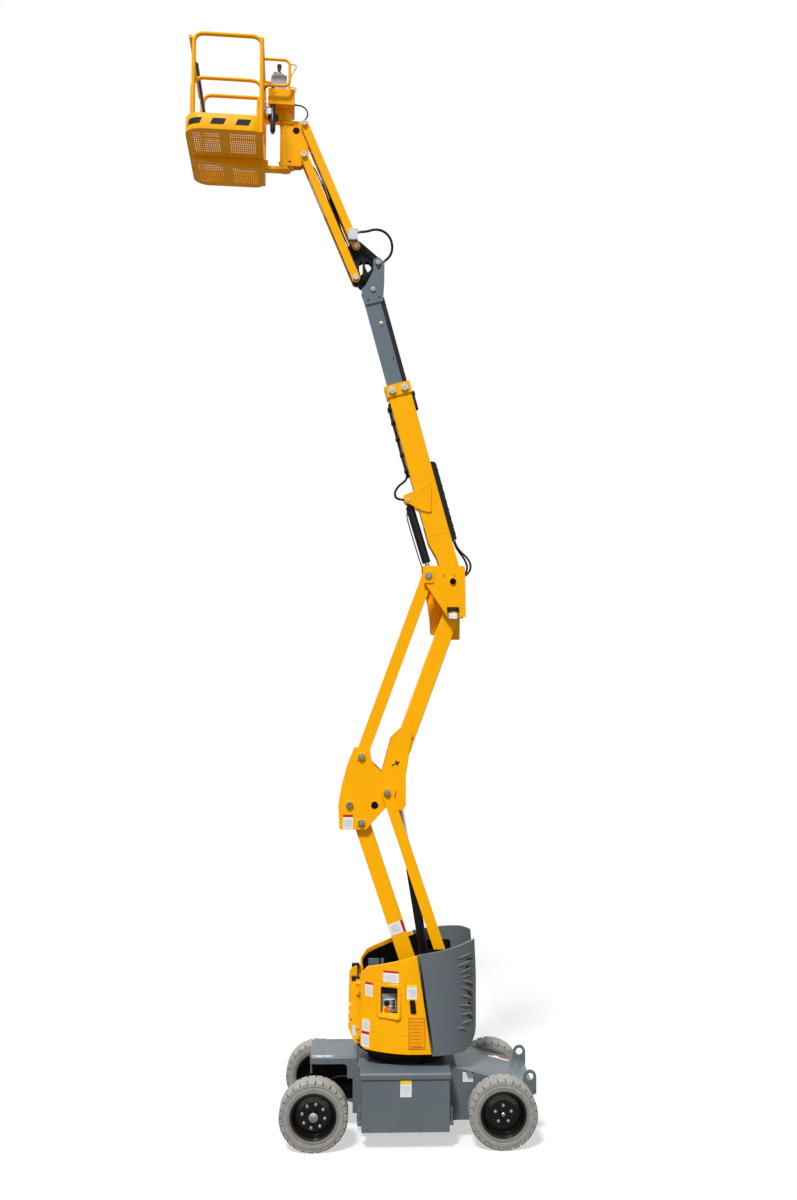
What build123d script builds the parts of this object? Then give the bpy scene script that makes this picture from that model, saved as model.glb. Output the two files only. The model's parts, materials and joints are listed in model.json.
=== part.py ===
"""Articulating electric boom lift.

A four-wheel chassis carries a slewing turret.  Two parallelogram stages raise the top
knuckle, which carries a telescopic boom, a levelled jib and a rotating platform.

Frame: millimetres, +X forward, +Y to the left, +Z up.  The origin is on the ground, on the
slew axis, half way between the axles.  Side-view points are (x, z) pairs.
"""
import os
from math import atan2, cos, degrees, hypot, radians, sin, tan

from build123d import *

os.makedirs("parts", exist_ok=True)

# ---------------------------------------------------------------- clearances
PIN_GAP = 0.5        # radial, bore to pin
SEAT_GAP = 0.3       # faces that turn or slide on each other

# ---------------------------------------------------------------- running gear
WHEELBASE = 1650.0
OVERALL_WIDTH = 1200.0
TYRE_RADIUS = 300.0
TYRE_WIDTH = 190.0
RIM_RADIUS = 200.0            # seat of the tyre on the rim
RIM_WALL = 10.0
LUG_COUNT = 27
LUG_GROOVE = 11.0             # gap between two shoulder lugs
LUG_HEIGHT = 26.0
LUG_REACH = 52.0              # how far a shoulder groove runs in from the side
HUB_RADIUS = 62.0
TRACK_HALF = (OVERALL_WIDTH - TYRE_WIDTH) / 2
TYRE_INNER = OVERALL_WIDTH / 2 - TYRE_WIDTH
KINGPIN_Y = OVERALL_WIDTH / 2 - 148
KINGPIN_RADIUS = 16.0
AXLE_Z = TYRE_RADIUS
AXLE_BEAM = 90.0
REAR_BEAM = 110.0
HUB_FLANGE_RADIUS = 95.0
SADDLE = 90.0
SADDLE_Y = 200.0
FORK_HALF = 62.0

# ---------------------------------------------------------------- chassis
BODY_FRONT_X = 450.0
BODY_REAR_X = -430.0
BODY_HALF = 355.0
BODY_TOP = 650.0
BODY_BOTTOM = 175.0
SHEET = 10.0
DECK_FRONT_X = WHEELBASE / 2 + 47
DECK_HALF = 266.0
DECK_TOP = 690.0
DECK_THICK = 50.0
DECK_SKIRT = 175.0            # depth of the deck's folded side at the bulkhead
DECK_CORNER = 60.0
ARCH_CORNER = 36.0
BULKHEAD_BOTTOM = 212.0
BULKHEAD = 38.0
SPINE_HALF = 130.0
BONNET_END_X = -WHEELBASE / 2 - 305
BONNET_HALF = 350.0
BONNET_TOP_FRONT = 628.0
BONNET_TOP_REAR = 450.0
BONNET_STEP_X = -WHEELBASE / 2 + 265
BONNET_UNDERSIDE = 385.0
LUG_EYE = (BONNET_END_X + 38, 540.0)    # tie-down eye, side view
LUG_EYE_RADIUS = 32.0
LUG_OUTER = 58.0
LUG_PLATE = 16.0
LUG_Y = 333.0
BOX_FRONT_X = 410.0
BOX_REAR_X = -355.0
BOX_OUTER_Y = 585.0
BOX_TOP = 625.0
BOX_BOTTOM = 165.0
LID_LIP = 12.0
LID_DEPTH = 52.0
LID_TOP = 668.0
RING_RADIUS = 350.0
RING_TOP = 742.0

# ---------------------------------------------------------------- turret
TURRET_FLOOR = 750.0
FLOOR_THICK = 26.0
FLOOR_RADIUS = 455.0
CHEEK_Y = 190.0               # inner face of the turret's upright plates
CHEEK = 14.0
SHELL = 22.0                  # wall of the covers and of the counterweight
SHELL_BOTTOM = 790.0
FLANK_Y = 490.0               # widest half width of the turret
COVER_MIDDLE = (235.0, 416.0)  # plan point where the covers round in to the nose
HINGE_X = 440.0
HINGE_Y = 268.0
HINGE_PIN = 7.0
HINGE_OUTER = 12.0
HINGE_LENGTH = 60.0
HINGE_LEVELS = (880.0, 1270.0)
SEAM_BOTTOM_X = -200.0        # seam between side cover and counterweight
SEAM_TOP_X = -70.0
COVER_FRONT_X = 425.0
COVER_FRONT_Y = 285.0
COVER_FRONT_TOP = 1492.0
COVER_REAR_TOP = 1640.0
NOSE_FRONT_X = 532.0
NOSE_TOP = 1385.0
NOSE_SLOT_HALF = 200.0
NOSE_SLOT_Z = 1080.0
TAIL_X = -632.0
RIM_REAR_X = -530.0           # where the rim stops rising
PANEL_CENTRE = (172.0, 1242.0)
PANEL_Y = 372.0               # face of the ground control panel
PANEL_WIDTH = 146.0
PANEL_HEIGHT = 232.0
CHEEK_OUTLINE = [(-320, -523), (380, -523), (320, -133), (100, 77), (-110, 342), (-340, 342), (-360, 17)]
TAIL_TOP = 1722.0
TAIL_HALF = 110.0
TAIL_WALL = 14.0
TAIL_ROUND = (-470.0, 395.0)   # plan point on the counterweight's rounded corner
NOSE_RIBS = 3
NOSE_RIB_BOTTOM = 985.0
NOSE_RIB_PITCH = 72.0
NOSE_RIB_DEPTH = 34.0
LOUVRES = ((1560.0, 12.0), (1490.0, 14.0), (1420.0, 18.0), (1330.0, 38.0), (1240.0, 52.0), (1140.0, 60.0),
           (1040.0, 50.0))        # height, lean in degrees
LOUVRE_FLOOR = 250.0
LOUVRE_REACH = 62.0
LOUVRE_LENGTH = 120.0
LOUVRE_WIDTH = 22.0

# ---------------------------------------------------------------- riser linkage
ARM_ANGLE = 71.0
ARM_LENGTH = 1560.0
ARM_FOOT = (-80.0, 1283.0)
STRUT_SHIFT = (-233.0, 277.0)      # from the arm's pins to the strut's pins
UPPER_ANGLE = 110.0
UPPER_LENGTH = 1787.0
TIE_SHIFT = (236.0, 323.0)         # from the upper arm's pins to the tie's pins
BOOM_SHIFT = (7.0, 272.0)          # from the upper arm's top pin to the boom's pivot

RISER_BASE = (-165.0, -233.0)      # riser cylinder's foot pin from the arm's foot pin
RISER_EYE = (213.3, 145.0)         # its rod's pin from the strut's top pin: angle, distance
BOOM_EYE = (139.0, -141.0)         # boom cylinder's rod pin from the boom's pivot

# offsets from the lower arm's top pin
SHIELD = [(70, 672), (135, 510), (187, 314), (213, 157), (202, -63), (-46, -63), (-212, 122), (-298, 202),
          (-318, 302), (-278, 372), (-98, 542), (-76, 662)]
SHIELD_HOLE = (-122.0, 155.0)
SHIELD_PIN = (109.0, 161.0)
# offsets from the strut's top pin
UPPER_CHEEK = [(-155, 605), (-235, 555), (-177, 145), (-177, -120), (-145, -175), (-85, -155), (105, -25),
               (55, 145), (-35, 485)]
UPPER_TUBE_START = 330.0
# offsets from the upper arm's top pin
KNUCKLE_PLATE = [(289, 416), (-106, 416), (-116, -62), (55, -62), (277, 266)]
KNUCKLE_TAIL = [(266, 276), (-84, 286), (-80, -267), (66, -267), (201, -214), (211, -64)]

ARM_DEPTH = 145.0
ARM_TIE = 260.0                    # cross tube below the lower arm's top pin
STRUT_TIE = 300.0                  # cross tube above the strut's foot pin
UPPER_TIE = 500.0
TIE_TUBE = 25.0
ARM_WEB = 25.0
ARM_HALF = 80.0
STRUT_DEPTH = 100.0
STRUT_BAR = 24.0
STRUT_INNER = 136.0
UPPER_DEPTH = 155.0
UPPER_HALF = 70.0
UPPER_CHEEK_Y = 100.0
TIE_DEPTH = 108.0
TIE_BAR = 17.0
TIE_INNER = 80.0
KNUCKLE_Y = 118.0                  # inner face of both knuckles' plates
PLATE = 12.0
PIN = 24.0
PIN_HEAD = 34.0
HEAD_THICK = 12.0

# ---------------------------------------------------------------- boom, fly and jib
BOOM_ANGLE = 74.5
BOOM_HALF = 75.0
BOOM_DEPTH = 220.0
BOOM_UP = -10.0                    # the tube's axis beside the line through the pivot
BOOM_TUBE_START = 400.0
BOOM_END = 1950.0
BOOM_WALL = 6.0
ROOT_PLATE = 14.0
# along and above the boom's line; the recess in its front edge clears the knuckle
ROOT_OUTLINE = [(-55, -60), (-70, 20), (30, 100), (BOOM_TUBE_START + 60, 100), (BOOM_TUBE_START + 60, -119),
                (BOOM_TUBE_START, -119), (250, -80), (60, -75)]
ROOT_SLOT = 185.0
ROOT_SLOT_WIDTH = 100.0
BRACKET_OUTLINE = [(943, 50), (905, -233), (845, -233), (720, -100), (680, -20)]
COLLAR = 112.0
TRAY_START = 385.0
TRAY_LENGTH = 770.0
TRAY_WIDTH = 90.0
TRAY_HEIGHT = 52.0
FLY_HALF = 56.0
FLY_DEPTH = 175.0
FLY_START = 1180.0
FLY_END = 2850.0
FLY_WALL = 6.0
FLY_STROKE = 800.0
FLY_CHEEK_START = BOOM_END + FLY_STROKE + 6  # clear of the collar with the fly boom drawn in
FLY_CHEEK = [(FLY_CHEEK_START, -96), (FLY_END + 62, -100), (FLY_END + 92, -50), (FLY_END + 210, 60),
             (FLY_END + 320, 88), (FLY_END + 322, 150), (FLY_END + 250, 180), (FLY_END + 80, 132),
             (FLY_CHEEK_START, 74)]
FLY_PIN = 20.0
BRACKET_PIN = (851.0, -197.0)      # boom cylinder's upper pin: along, above the boom's line
FLY_PIVOT_PLACE = (270.0, 123.0)   # past the fly boom's end, and above its line
SLAVE_SHIFT = (50.0, -248.0)       # from the levelling pivot to the levelling cylinder's pin
JIB_SHIFT = (210.0, -152.0)        # from the levelling pivot to the lower jib pin
JIB_SPACING = 310.0                # upper jib pin above the lower one
JIB_ANGLE = 66.9
JIB_LENGTH = 1285.0
JIB_BAR_DEPTH = 76.0
JIB_BAR = 26.0
JIB_INNER = 46.0
JIB_PIN = 18.0
JIB_WEB = 10.0
JIB_BASE = (45.0, 70.0)            # jib cylinder's foot pin from the lower jib pin
JIB_EYE_REACH = 1050.0             # its rod's pin along the upper jib bar
# which edge of each jib bar its web closes, and the web's two ends along the bar
JIB_WEBS = {"lower": (-1, 700.0, 1085.0), "upper": (1, 200.0, 900.0)}
# offsets from the levelling pivot
BRACKET_PLATE = [(-56, -16), (-6, 59), (174, 214), (239, 214), (296, 154), (296, -176), (214, -201),
                 (44, -291), (4, -236), (-31, -76)]
# offsets from the jib head's lower pin
HEAD_PLATE = [(-35, 349), (130, 349), (130, -91), (40, -91), (-35, -36)]
HEAD_HOLE = (79.0, 256.0)
HOUSING_SHIFT = 100.0
TURN_FLANGE = 30.0
JUNCTION_SHIFT = (30.0, 91.0)      # junction box from the upper jib pin
JUNCTION_LENGTH = 86.0
JUNCTION_HEIGHT = 110.0
JUNCTION_DEPTH = 47.0

# ---------------------------------------------------------------- platform
TURN_SHIFT = 185.0                 # the turning axis in front of the jib head's pins
TURN_RADIUS = 58.0
FLOOR_DROP = 38.0                  # underside of the floor below the head's lower pin
BASKET_REACH = 553.0               # middle of the platform in front of the turning axis
BASKET_LENGTH = 700.0
BASKET_WIDTH = 1195.0
FRONT_CORNER = 150.0
REAR_CORNER = 50.0
RAIL = 19.0
RAIL_HEIGHT = 1100.0
MID_HEIGHT = 620.0
TOE_HEIGHT = 150.0
TOE_SHEET = 4.0
FLOOR_SHEET = 8.0
TURN_DROP = 96.0                   # underside of the turning shaft's housing below the lower pin
TURN_HEIGHT = 445.0
TURN_SHAFT = 24.0
RAIL_INSET = 26.0
POST_INSET = 72.0
FRONT_POST_INSET = 98.0
TOP_BEND = 95.0
MID_BEND = 70.0
MID_INSET = 62.0
GUARD_Y = 210.0
GUARD_DROP = 190.0                 # guard loops below the top rail
GUARD_REACH = 250.0
GUARD_HEIGHT = 200.0
GUARD_BEND = 60.0
SUPPORT_GAP = 2.0
SUPPORT_ARM = 30.0
SUPPORT_WIDTH = 96.0
UPPER_SUPPORT = 110.0
BEAM_REAR = 85.0                   # behind and in front of the turning axis
BEAM_FRONT = 167.0
BEAM_WIDTH = 300.0
BEAM_HEIGHT = 150.0
CONSOLE_REAR = -10.0
CONSOLE_FRONT = 140.0
CONSOLE_WIDTH = 260.0
CONSOLE_HEIGHT = 170.0
PLATFORM_YAW = 3.5                 # the platform is parked slightly turned
CYLINDER_PIN = {"riser": PIN, "boom": 18.0, "jib": 14.0}

# ---------------------------------------------------------------- free hoses
JIB_HOSE_RADIUS = 12.0
ROOT_HOSE_RADIUS = 10.0
CONSOLE_HOSE_RADIUS = 7.0
# from the levelling pivot: out of the junction box, over the fly boom's end and down between its cheeks
JIB_HOSE = [(192, 126, 276), (122, 126, 276), (32, 121, 310), (-60, 104, 296), (-124, 76, 230),
            (-138, 46, 140), (-102, 22, 62), (-44, 10, 30)]
# from the boom's pivot: off the cable tray's lower end, out behind the boom's root and into the top knuckle
ROOT_HOSES = {
    "left": [(-18.9, 26, 404.7), (-34.9, 26, 346.9), (-82.7, 46, 281.8), (-142.7, 72, 225.8),
             (-176.7, 92, 151.8), (-150.7, 97, 71.8), (-77.7, 97, 27.8)],
    "right": [(-18.9, -26, 404.7), (-34.2, -26, 349.4), (-76.7, -44, 289.8), (-128.7, -70, 227.8),
              (-160.7, -90, 155.8), (-138.7, -97, 79.8), (-73.7, -97, 35.8)]}
# from the turning axis at the height of the head's lower pin: from the box under the controls to the head
CONSOLE_HOSE = [(-88.6, 54.7, 504.4), (-126.5, 52.4, 504.4), (-171.1, 50, 492.4), (-205.1, 46, 462.4),
                (-217.1, 43, 420.4), (-201.1, 40, 382.4), (-177.1, 40, 358.4)]


def along(start, angle, distance, up=0.0):
    """The side-view point at a distance along a line, and beside it, up being its left."""
    c, s = cos(radians(angle)), sin(radians(angle))
    return (start[0] + c * distance - s * up, start[1] + s * distance + c * up)


def shifted(point, shift):
    return (point[0] + shift[0], point[1] + shift[1])


def routed(point, offsets):
    """A hose's route given by offsets from a side-view point."""
    return [(point[0] + x, y, point[1] + z) for x, y, z in offsets]


def outline(point, offsets):
    """An outline given by offsets from a point."""
    return [shifted(point, offset) for offset in offsets]


def side(y):
    """A side-view plane at y: local x is X, local y is Z, and it faces -Y."""
    return Plane.XZ.offset(-y)


def arm_side(start, angle, y):
    """A side-view plane at y whose x axis runs along an arm, from the arm's lower pin."""
    c, s = cos(radians(angle)), sin(radians(angle))
    return Plane(origin=(start[0], y, start[1]), x_dir=(c, 0, s), z_dir=(0, -1, 0))


def arm_section(start, angle, distance, up=0.0):
    """A plane across an arm: local x is Y, local y is the arm's upper side."""
    x, z = along(start, angle, distance, up)
    c, s = cos(radians(angle)), sin(radians(angle))
    return Plane(origin=(x, 0, z), x_dir=(0, 1, 0), z_dir=(c, 0, s))


def disc(point, radius, outer, inner, mode=Mode.ADD):
    """A round boss, pin or bore along Y, from outer down to inner."""
    with BuildSketch(side(outer)) as face:
        with Locations(point):
            Circle(radius)
    extrude(face.sketch, amount=outer - inner, mode=mode)


def bore(point, radius=PIN + PIN_GAP, half=OVERALL_WIDTH):
    disc(point, radius, half, -half, Mode.SUBTRACT)


def pin(point, half, radius=PIN, head=PIN_HEAD):
    """A pin right across, with a head outside each plate."""
    disc(point, radius, half, -half)
    for outer in (half + HEAD_THICK, -half):
        disc(point, head, outer, outer - HEAD_THICK)


def stub(point, outer, inner, radius=PIN, head=PIN_HEAD):
    """A short pin in each side's plate, that leaves the middle free."""
    disc(point, radius, outer, inner)
    disc(point, radius, -inner, -outer)
    for face in (outer + HEAD_THICK, -outer):
        disc(point, head, face, face - HEAD_THICK)


def plate(points, outer, thick, corner=0.0, plane=None, mode=Mode.ADD):
    """A flat plate of a side-view outline, its left face at outer."""
    with BuildSketch(plane or side(outer)) as face:
        Polygon(*points, align=None)
        if corner:
            fillet(face.vertices(), corner)
    extrude(face.sketch, amount=thick, mode=mode)


def bar(start, angle, length, depth, outer, thick, mode=Mode.ADD):
    """A bar with round ends about its two pins."""
    with BuildSketch(arm_side(start, angle, outer)) as face:
        with Locations((length / 2, 0)):
            SlotCenterToCenter(length, depth)
    extrude(face.sketch, amount=thick, mode=mode)


def tube(start, angle, first, last, half, depth, wall, up=0.0, corner=8.0):
    """A square-cut rectangular tube along an arm."""
    with BuildSketch(arm_section(start, angle, first, up)) as face:
        RectangleRounded(2 * half, depth, corner)
        RectangleRounded(2 * (half - wall), depth - 2 * wall, corner / 2, mode=Mode.SUBTRACT)
    extrude(face.sketch, amount=last - first)


def gland(end, beyond, radius, length=26.0):
    """The socket that a hose comes out of: end is its mouth, beyond the hose's next point."""
    with BuildSketch(Plane(origin=end, z_dir=Vector(*end) - Vector(*beyond))) as mouth:
        Circle(radius + 4)
    extrude(mouth.sketch, amount=length)


def corner_radii(route):
    """For each corner of a route the largest bend that its two runs allow."""
    radii = []
    for before, corner, after in zip(route, route[1:], route[2:]):
        run_in = Vector(*corner) - Vector(*before)
        run_out = Vector(*after) - Vector(*corner)
        half_turn = radians(run_in.get_angle(run_out)) / 2
        radii.append(0.45 * min(run_in.length, run_out.length) / tan(half_turn))
    return radii


# ---------------------------------------------------------------- linkage points
arm_top = along(ARM_FOOT, ARM_ANGLE, ARM_LENGTH)
strut_foot = shifted(ARM_FOOT, STRUT_SHIFT)
strut_top = shifted(arm_top, STRUT_SHIFT)
upper_top = along(strut_top, UPPER_ANGLE, UPPER_LENGTH)
tie_foot = shifted(strut_top, TIE_SHIFT)
tie_top = shifted(upper_top, TIE_SHIFT)
boom_pivot = shifted(upper_top, BOOM_SHIFT)
riser_base = shifted(ARM_FOOT, RISER_BASE)
riser_eye = along(strut_top, *RISER_EYE)
boom_eye = shifted(boom_pivot, BOOM_EYE)
boom_cylinder_top = along(boom_pivot, BOOM_ANGLE, *BRACKET_PIN)
fly_pivot = along(boom_pivot, BOOM_ANGLE, FLY_END + FLY_PIVOT_PLACE[0], FLY_PIVOT_PLACE[1])
slave_pin = shifted(fly_pivot, SLAVE_SHIFT)
jib_foot = shifted(fly_pivot, JIB_SHIFT)
jib_foot_upper = shifted(jib_foot, (0, JIB_SPACING))
jib_head_lower = along(jib_foot, JIB_ANGLE, JIB_LENGTH)
jib_head_upper = shifted(jib_head_lower, (0, JIB_SPACING))
jib_base = shifted(jib_foot, JIB_BASE)
jib_eye = along(jib_foot_upper, JIB_ANGLE, JIB_EYE_REACH)
turn_x = jib_head_lower[0] + TURN_SHIFT
turn_bottom = jib_head_lower[1] - TURN_DROP
turn_top = turn_bottom + TURN_HEIGHT
floor_bottom = jib_head_lower[1] - FLOOR_DROP
basket_x = turn_x + BASKET_REACH
jib_route = routed(fly_pivot, JIB_HOSE)
root_routes = {name: routed(boom_pivot, offsets) for name, offsets in ROOT_HOSES.items()}
console_route = routed((turn_x, jib_head_lower[1]), CONSOLE_HOSE)

# ================================================================ chassis
with BuildPart() as chassis_frame:
    # middle box, open below
    with BuildSketch(side(BODY_HALF)):
        with Locations(((BODY_FRONT_X + BODY_REAR_X) / 2, (BODY_TOP + BODY_BOTTOM) / 2)):
            Rectangle(BODY_FRONT_X - BODY_REAR_X, BODY_TOP - BODY_BOTTOM)
    extrude(amount=2 * BODY_HALF)
    # rear body under the sloping bonnet, its plan narrowing towards the tail
    rear_outline = [
        (BODY_REAR_X, BONNET_TOP_FRONT), (BONNET_END_X, BONNET_TOP_REAR),
        (BONNET_END_X, BONNET_UNDERSIDE), (BONNET_STEP_X - 70, BONNET_UNDERSIDE),
        (BONNET_STEP_X, BODY_BOTTOM), (BODY_REAR_X, BODY_BOTTOM)]
    plate(rear_outline, BONNET_HALF, 2 * BONNET_HALF)
    # bulkhead behind the front wheels, with its flange, and the spine over the axle
    bulkhead_top = DECK_TOP - DECK_THICK / 2
    plate([(BODY_FRONT_X, bulkhead_top), (BODY_FRONT_X + BULKHEAD, bulkhead_top),
           (BODY_FRONT_X + BULKHEAD, BULKHEAD_BOTTOM), (BODY_FRONT_X, BULKHEAD_BOTTOM)],
          DECK_HALF, 2 * DECK_HALF)
    plate([(BODY_FRONT_X, DECK_TOP - 20), (DECK_FRONT_X - 30, DECK_TOP - 20),
           (DECK_FRONT_X - 30, AXLE_Z + AXLE_BEAM / 2), (WHEELBASE / 2 - 60, AXLE_Z + AXLE_BEAM / 2),
           (BODY_FRONT_X, AXLE_Z - 60)], SPINE_HALF, 2 * SPINE_HALF)
    # deck over the steered wheels: round front corners and a folded skirt with a round arch
    with BuildSketch(Plane.XY.offset(DECK_TOP - DECK_SKIRT)):
        with Locations(((BODY_FRONT_X + DECK_FRONT_X) / 2, 0)):
            deck = Rectangle(DECK_FRONT_X - BODY_FRONT_X, 2 * DECK_HALF)
        fillet(deck.vertices().group_by(Axis.X)[-1], DECK_CORNER)
    extrude(amount=DECK_SKIRT)
    for arch_outer in (DECK_HALF + 1, -SPINE_HALF):
        with BuildSketch(side(arch_outer)):
            with Locations(((BODY_FRONT_X + BULKHEAD + DECK_FRONT_X) / 2 + DECK_CORNER / 2,
                            DECK_TOP - DECK_THICK - DECK_SKIRT / 2)):
                arch = Rectangle(DECK_FRONT_X - BODY_FRONT_X - BULKHEAD - 40, DECK_SKIRT)
            fillet(arch.vertices().group_by(Axis.Y)[-1], ARCH_CORNER)
        extrude(amount=DECK_HALF + 1 - SPINE_HALF, mode=Mode.SUBTRACT)
    # tie-down eyes at the rear corners
    for eye_side in (1, -1):
        eye_outer = eye_side * LUG_Y + LUG_PLATE / 2
        disc(LUG_EYE, LUG_OUTER, eye_outer, eye_outer - LUG_PLATE)
        plate([(LUG_EYE[0] - LUG_OUTER, LUG_EYE[1]), (LUG_EYE[0] + LUG_OUTER, LUG_EYE[1]),
               (LUG_EYE[0] + LUG_OUTER + 10, BONNET_TOP_REAR - 20),
               (LUG_EYE[0] - LUG_OUTER, BONNET_UNDERSIDE)], eye_outer, LUG_PLATE)
    bore(LUG_EYE, LUG_EYE_RADIUS)
    # hollow of the middle box
    with BuildSketch(Plane.XY.offset(BODY_BOTTOM)):
        with Locations(((BODY_FRONT_X + BODY_REAR_X) / 2, 0)):
            Rectangle(BODY_FRONT_X - BODY_REAR_X - 2 * SHEET, 2 * (BODY_HALF - SHEET))
    extrude(amount=BODY_TOP - BODY_BOTTOM - SHEET, mode=Mode.SUBTRACT)
    # seat of the slewing ring
    with BuildSketch(Plane.XY.offset(BODY_TOP - SHEET)):
        Circle(RING_RADIUS)
    extrude(amount=SHEET)
chassis_frame.part.label = "chassis_frame"

with BuildPart() as slew_ring:
    with BuildSketch(Plane.XY.offset(BODY_TOP)):
        Circle(RING_RADIUS)
        Circle(RING_RADIUS - 90, mode=Mode.SUBTRACT)
    extrude(amount=RING_TOP - BODY_TOP)
slew_ring.part.label = "slew_ring"

with BuildPart() as front_axle:
    beam_half = KINGPIN_Y - 45
    with BuildSketch(Plane.XZ.offset(-beam_half)):
        with Locations((WHEELBASE / 2, AXLE_Z)):
            Rectangle(76, AXLE_BEAM)
    extrude(amount=2 * beam_half)
    for end in (1, -1):
        # fork that holds the kingpin inside the wheel
        for level in (AXLE_Z + FORK_HALF, AXLE_Z - FORK_HALF - 16):
            with BuildSketch(Plane.XY.offset(level)):
                with Locations((WHEELBASE / 2, end * (KINGPIN_Y - 15))):
                    SlotOverall(92, 56, rotation=90)
            extrude(amount=16)
        with BuildSketch(Plane.XY.offset(AXLE_Z - FORK_HALF - 16)):
            with Locations((WHEELBASE / 2, end * (KINGPIN_Y - 48))):
                Rectangle(36, 20)
        extrude(amount=2 * (FORK_HALF + 16))
        with BuildSketch(Plane.XY.offset(AXLE_Z - FORK_HALF - 22)):
            with Locations((WHEELBASE / 2, end * KINGPIN_Y)):
                Circle(KINGPIN_RADIUS)
        extrude(amount=2 * (FORK_HALF + 22))
front_axle.part.label = "front_axle"

steering_knuckles = {}
for side_name, sign in (("left", 1), ("right", -1)):
    with BuildPart() as knuckle:
        with BuildSketch(Plane.XY.offset(AXLE_Z - FORK_HALF + SEAT_GAP)):
            with Locations((WHEELBASE / 2, sign * KINGPIN_Y)):
                Circle(30)
                Circle(KINGPIN_RADIUS + PIN_GAP, mode=Mode.SUBTRACT)
        extrude(amount=2 * (FORK_HALF - SEAT_GAP))
        with BuildSketch(side(sign * (KINGPIN_Y + 27))):
            with Locations((WHEELBASE / 2, AXLE_Z)):
                Circle(34)
        extrude(amount=-sign * 45)
        # steering lever to the tie rod
        with BuildSketch(Plane.XY.offset(AXLE_Z - FORK_HALF + SEAT_GAP)):
            with Locations((WHEELBASE / 2 - 60, sign * KINGPIN_Y)):
                Rectangle(80, 22)
        extrude(amount=14)
    knuckle.part.label = f"steering_knuckle_{side_name}"
    steering_knuckles[side_name] = knuckle

with BuildPart() as rear_axle:
    with BuildSketch(side(BONNET_HALF + 30)):
        with Locations((-WHEELBASE / 2, AXLE_Z)):
            Rectangle(REAR_BEAM, REAR_BEAM)
    extrude(amount=2 * (BONNET_HALF + 30))
    for sign in (1, -1):
        with BuildSketch(side(sign * (BONNET_HALF + 30))):
            with Locations((-WHEELBASE / 2, AXLE_Z)):
                Circle(HUB_FLANGE_RADIUS)
        extrude(amount=-sign * 84)
    # saddle blocks to the body
    with BuildSketch(Plane.XY.offset(AXLE_Z)):
        with Locations((-WHEELBASE / 2, SADDLE_Y), (-WHEELBASE / 2, -SADDLE_Y)):
            Rectangle(SADDLE, SADDLE)
    extrude(amount=BONNET_UNDERSIDE - AXLE_Z)
rear_axle.part.label = "rear_axle"

tyres = {}
rims = {}
for wheel_name, wheel_x, sign in (("front_left", WHEELBASE / 2, 1), ("front_right", WHEELBASE / 2, -1),
                                  ("rear_left", -WHEELBASE / 2, 1), ("rear_right", -WHEELBASE / 2, -1)):
    hub_plane = Plane(origin=(wheel_x, sign * TRACK_HALF, AXLE_Z), x_dir=(1, 0, 0), z_dir=(0, 0, 1))
    hub_axis = Axis(origin=(wheel_x, sign * TRACK_HALF, AXLE_Z), direction=(0, 1, 0))
    half_width = TYRE_WIDTH / 2
    with BuildPart() as tyre:
        with BuildSketch(hub_plane) as profile:
            with BuildLine():
                Polyline((RIM_RADIUS, -half_width + 12), (RIM_RADIUS + 8, -half_width + 6),
                         (RIM_RADIUS + 38, -half_width), (TYRE_RADIUS - 12, -half_width + 3),
                         (TYRE_RADIUS, -half_width + 16), (TYRE_RADIUS, half_width - 16),
                         (TYRE_RADIUS - 12, half_width - 3), (RIM_RADIUS + 38, half_width),
                         (RIM_RADIUS + 8, half_width - 6), (RIM_RADIUS, half_width - 12),
                         close=True)
            make_face()
        revolve(axis=hub_axis)
        for face_y, inward in ((half_width, 1), (-half_width, -1)):
            with BuildSketch(side(sign * TRACK_HALF + face_y)):
                with Locations((wheel_x, AXLE_Z)):
                    with PolarLocations(TYRE_RADIUS - LUG_HEIGHT / 2 + 10, LUG_COUNT):
                        Rectangle(LUG_HEIGHT + 20, LUG_GROOVE)
            extrude(amount=inward * LUG_REACH, mode=Mode.SUBTRACT)
    tyre.part.label = f"tyre_{wheel_name}"
    tyres[wheel_name] = tyre

    front = wheel_name.startswith("front")
    disc_y = 50.0        # outer face of the wheel disc, outboard of the wheel's middle
    with BuildPart() as rim:
        with BuildSketch(hub_plane) as profile:
            with BuildLine():
                Polyline((RIM_RADIUS - SEAT_GAP, sign * (half_width - 12)),
                         (RIM_RADIUS - SEAT_GAP, -sign * (half_width - 12)),
                         (RIM_RADIUS - RIM_WALL, -sign * (half_width - 12)),
                         (RIM_RADIUS - RIM_WALL, sign * (disc_y - 30)),
                         (110, sign * (disc_y - 14)), (0, sign * (disc_y - 14)),
                         (0, sign * disc_y), (120, sign * disc_y),
                         (RIM_RADIUS - RIM_WALL - 30, sign * (disc_y - 14)),
                         (RIM_RADIUS - RIM_WALL - 8, sign * (half_width - 16)), close=True)
            make_face()
        revolve(axis=hub_axis)
        hub_reach = disc_y + (34 if front else 10)
        with BuildSketch(side(sign * (TRACK_HALF + hub_reach))):
            with Locations((wheel_x, AXLE_Z)):
                Circle(44 if front else 40)
        extrude(amount=sign * (hub_reach - disc_y + 10))
        if front:
            # hub barrel that turns on the spindle
            with BuildSketch(side(sign * (TRACK_HALF + disc_y - 10))):
                with Locations((wheel_x, AXLE_Z)):
                    Circle(HUB_RADIUS)
                    Circle(34 + PIN_GAP, mode=Mode.SUBTRACT)
            extrude(amount=sign * 42)
        else:
            flange = TRACK_HALF + disc_y - 14 - (BONNET_HALF + 30 + 84) - SEAT_GAP
            with BuildSketch(side(sign * (TRACK_HALF + disc_y - 10))):
                with Locations((wheel_x, AXLE_Z)):
                    Circle(HUB_RADIUS)
            extrude(amount=sign * (flange + 4))
    rim.part.label = f"rim_{wheel_name}"
    rims[wheel_name] = rim

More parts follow.
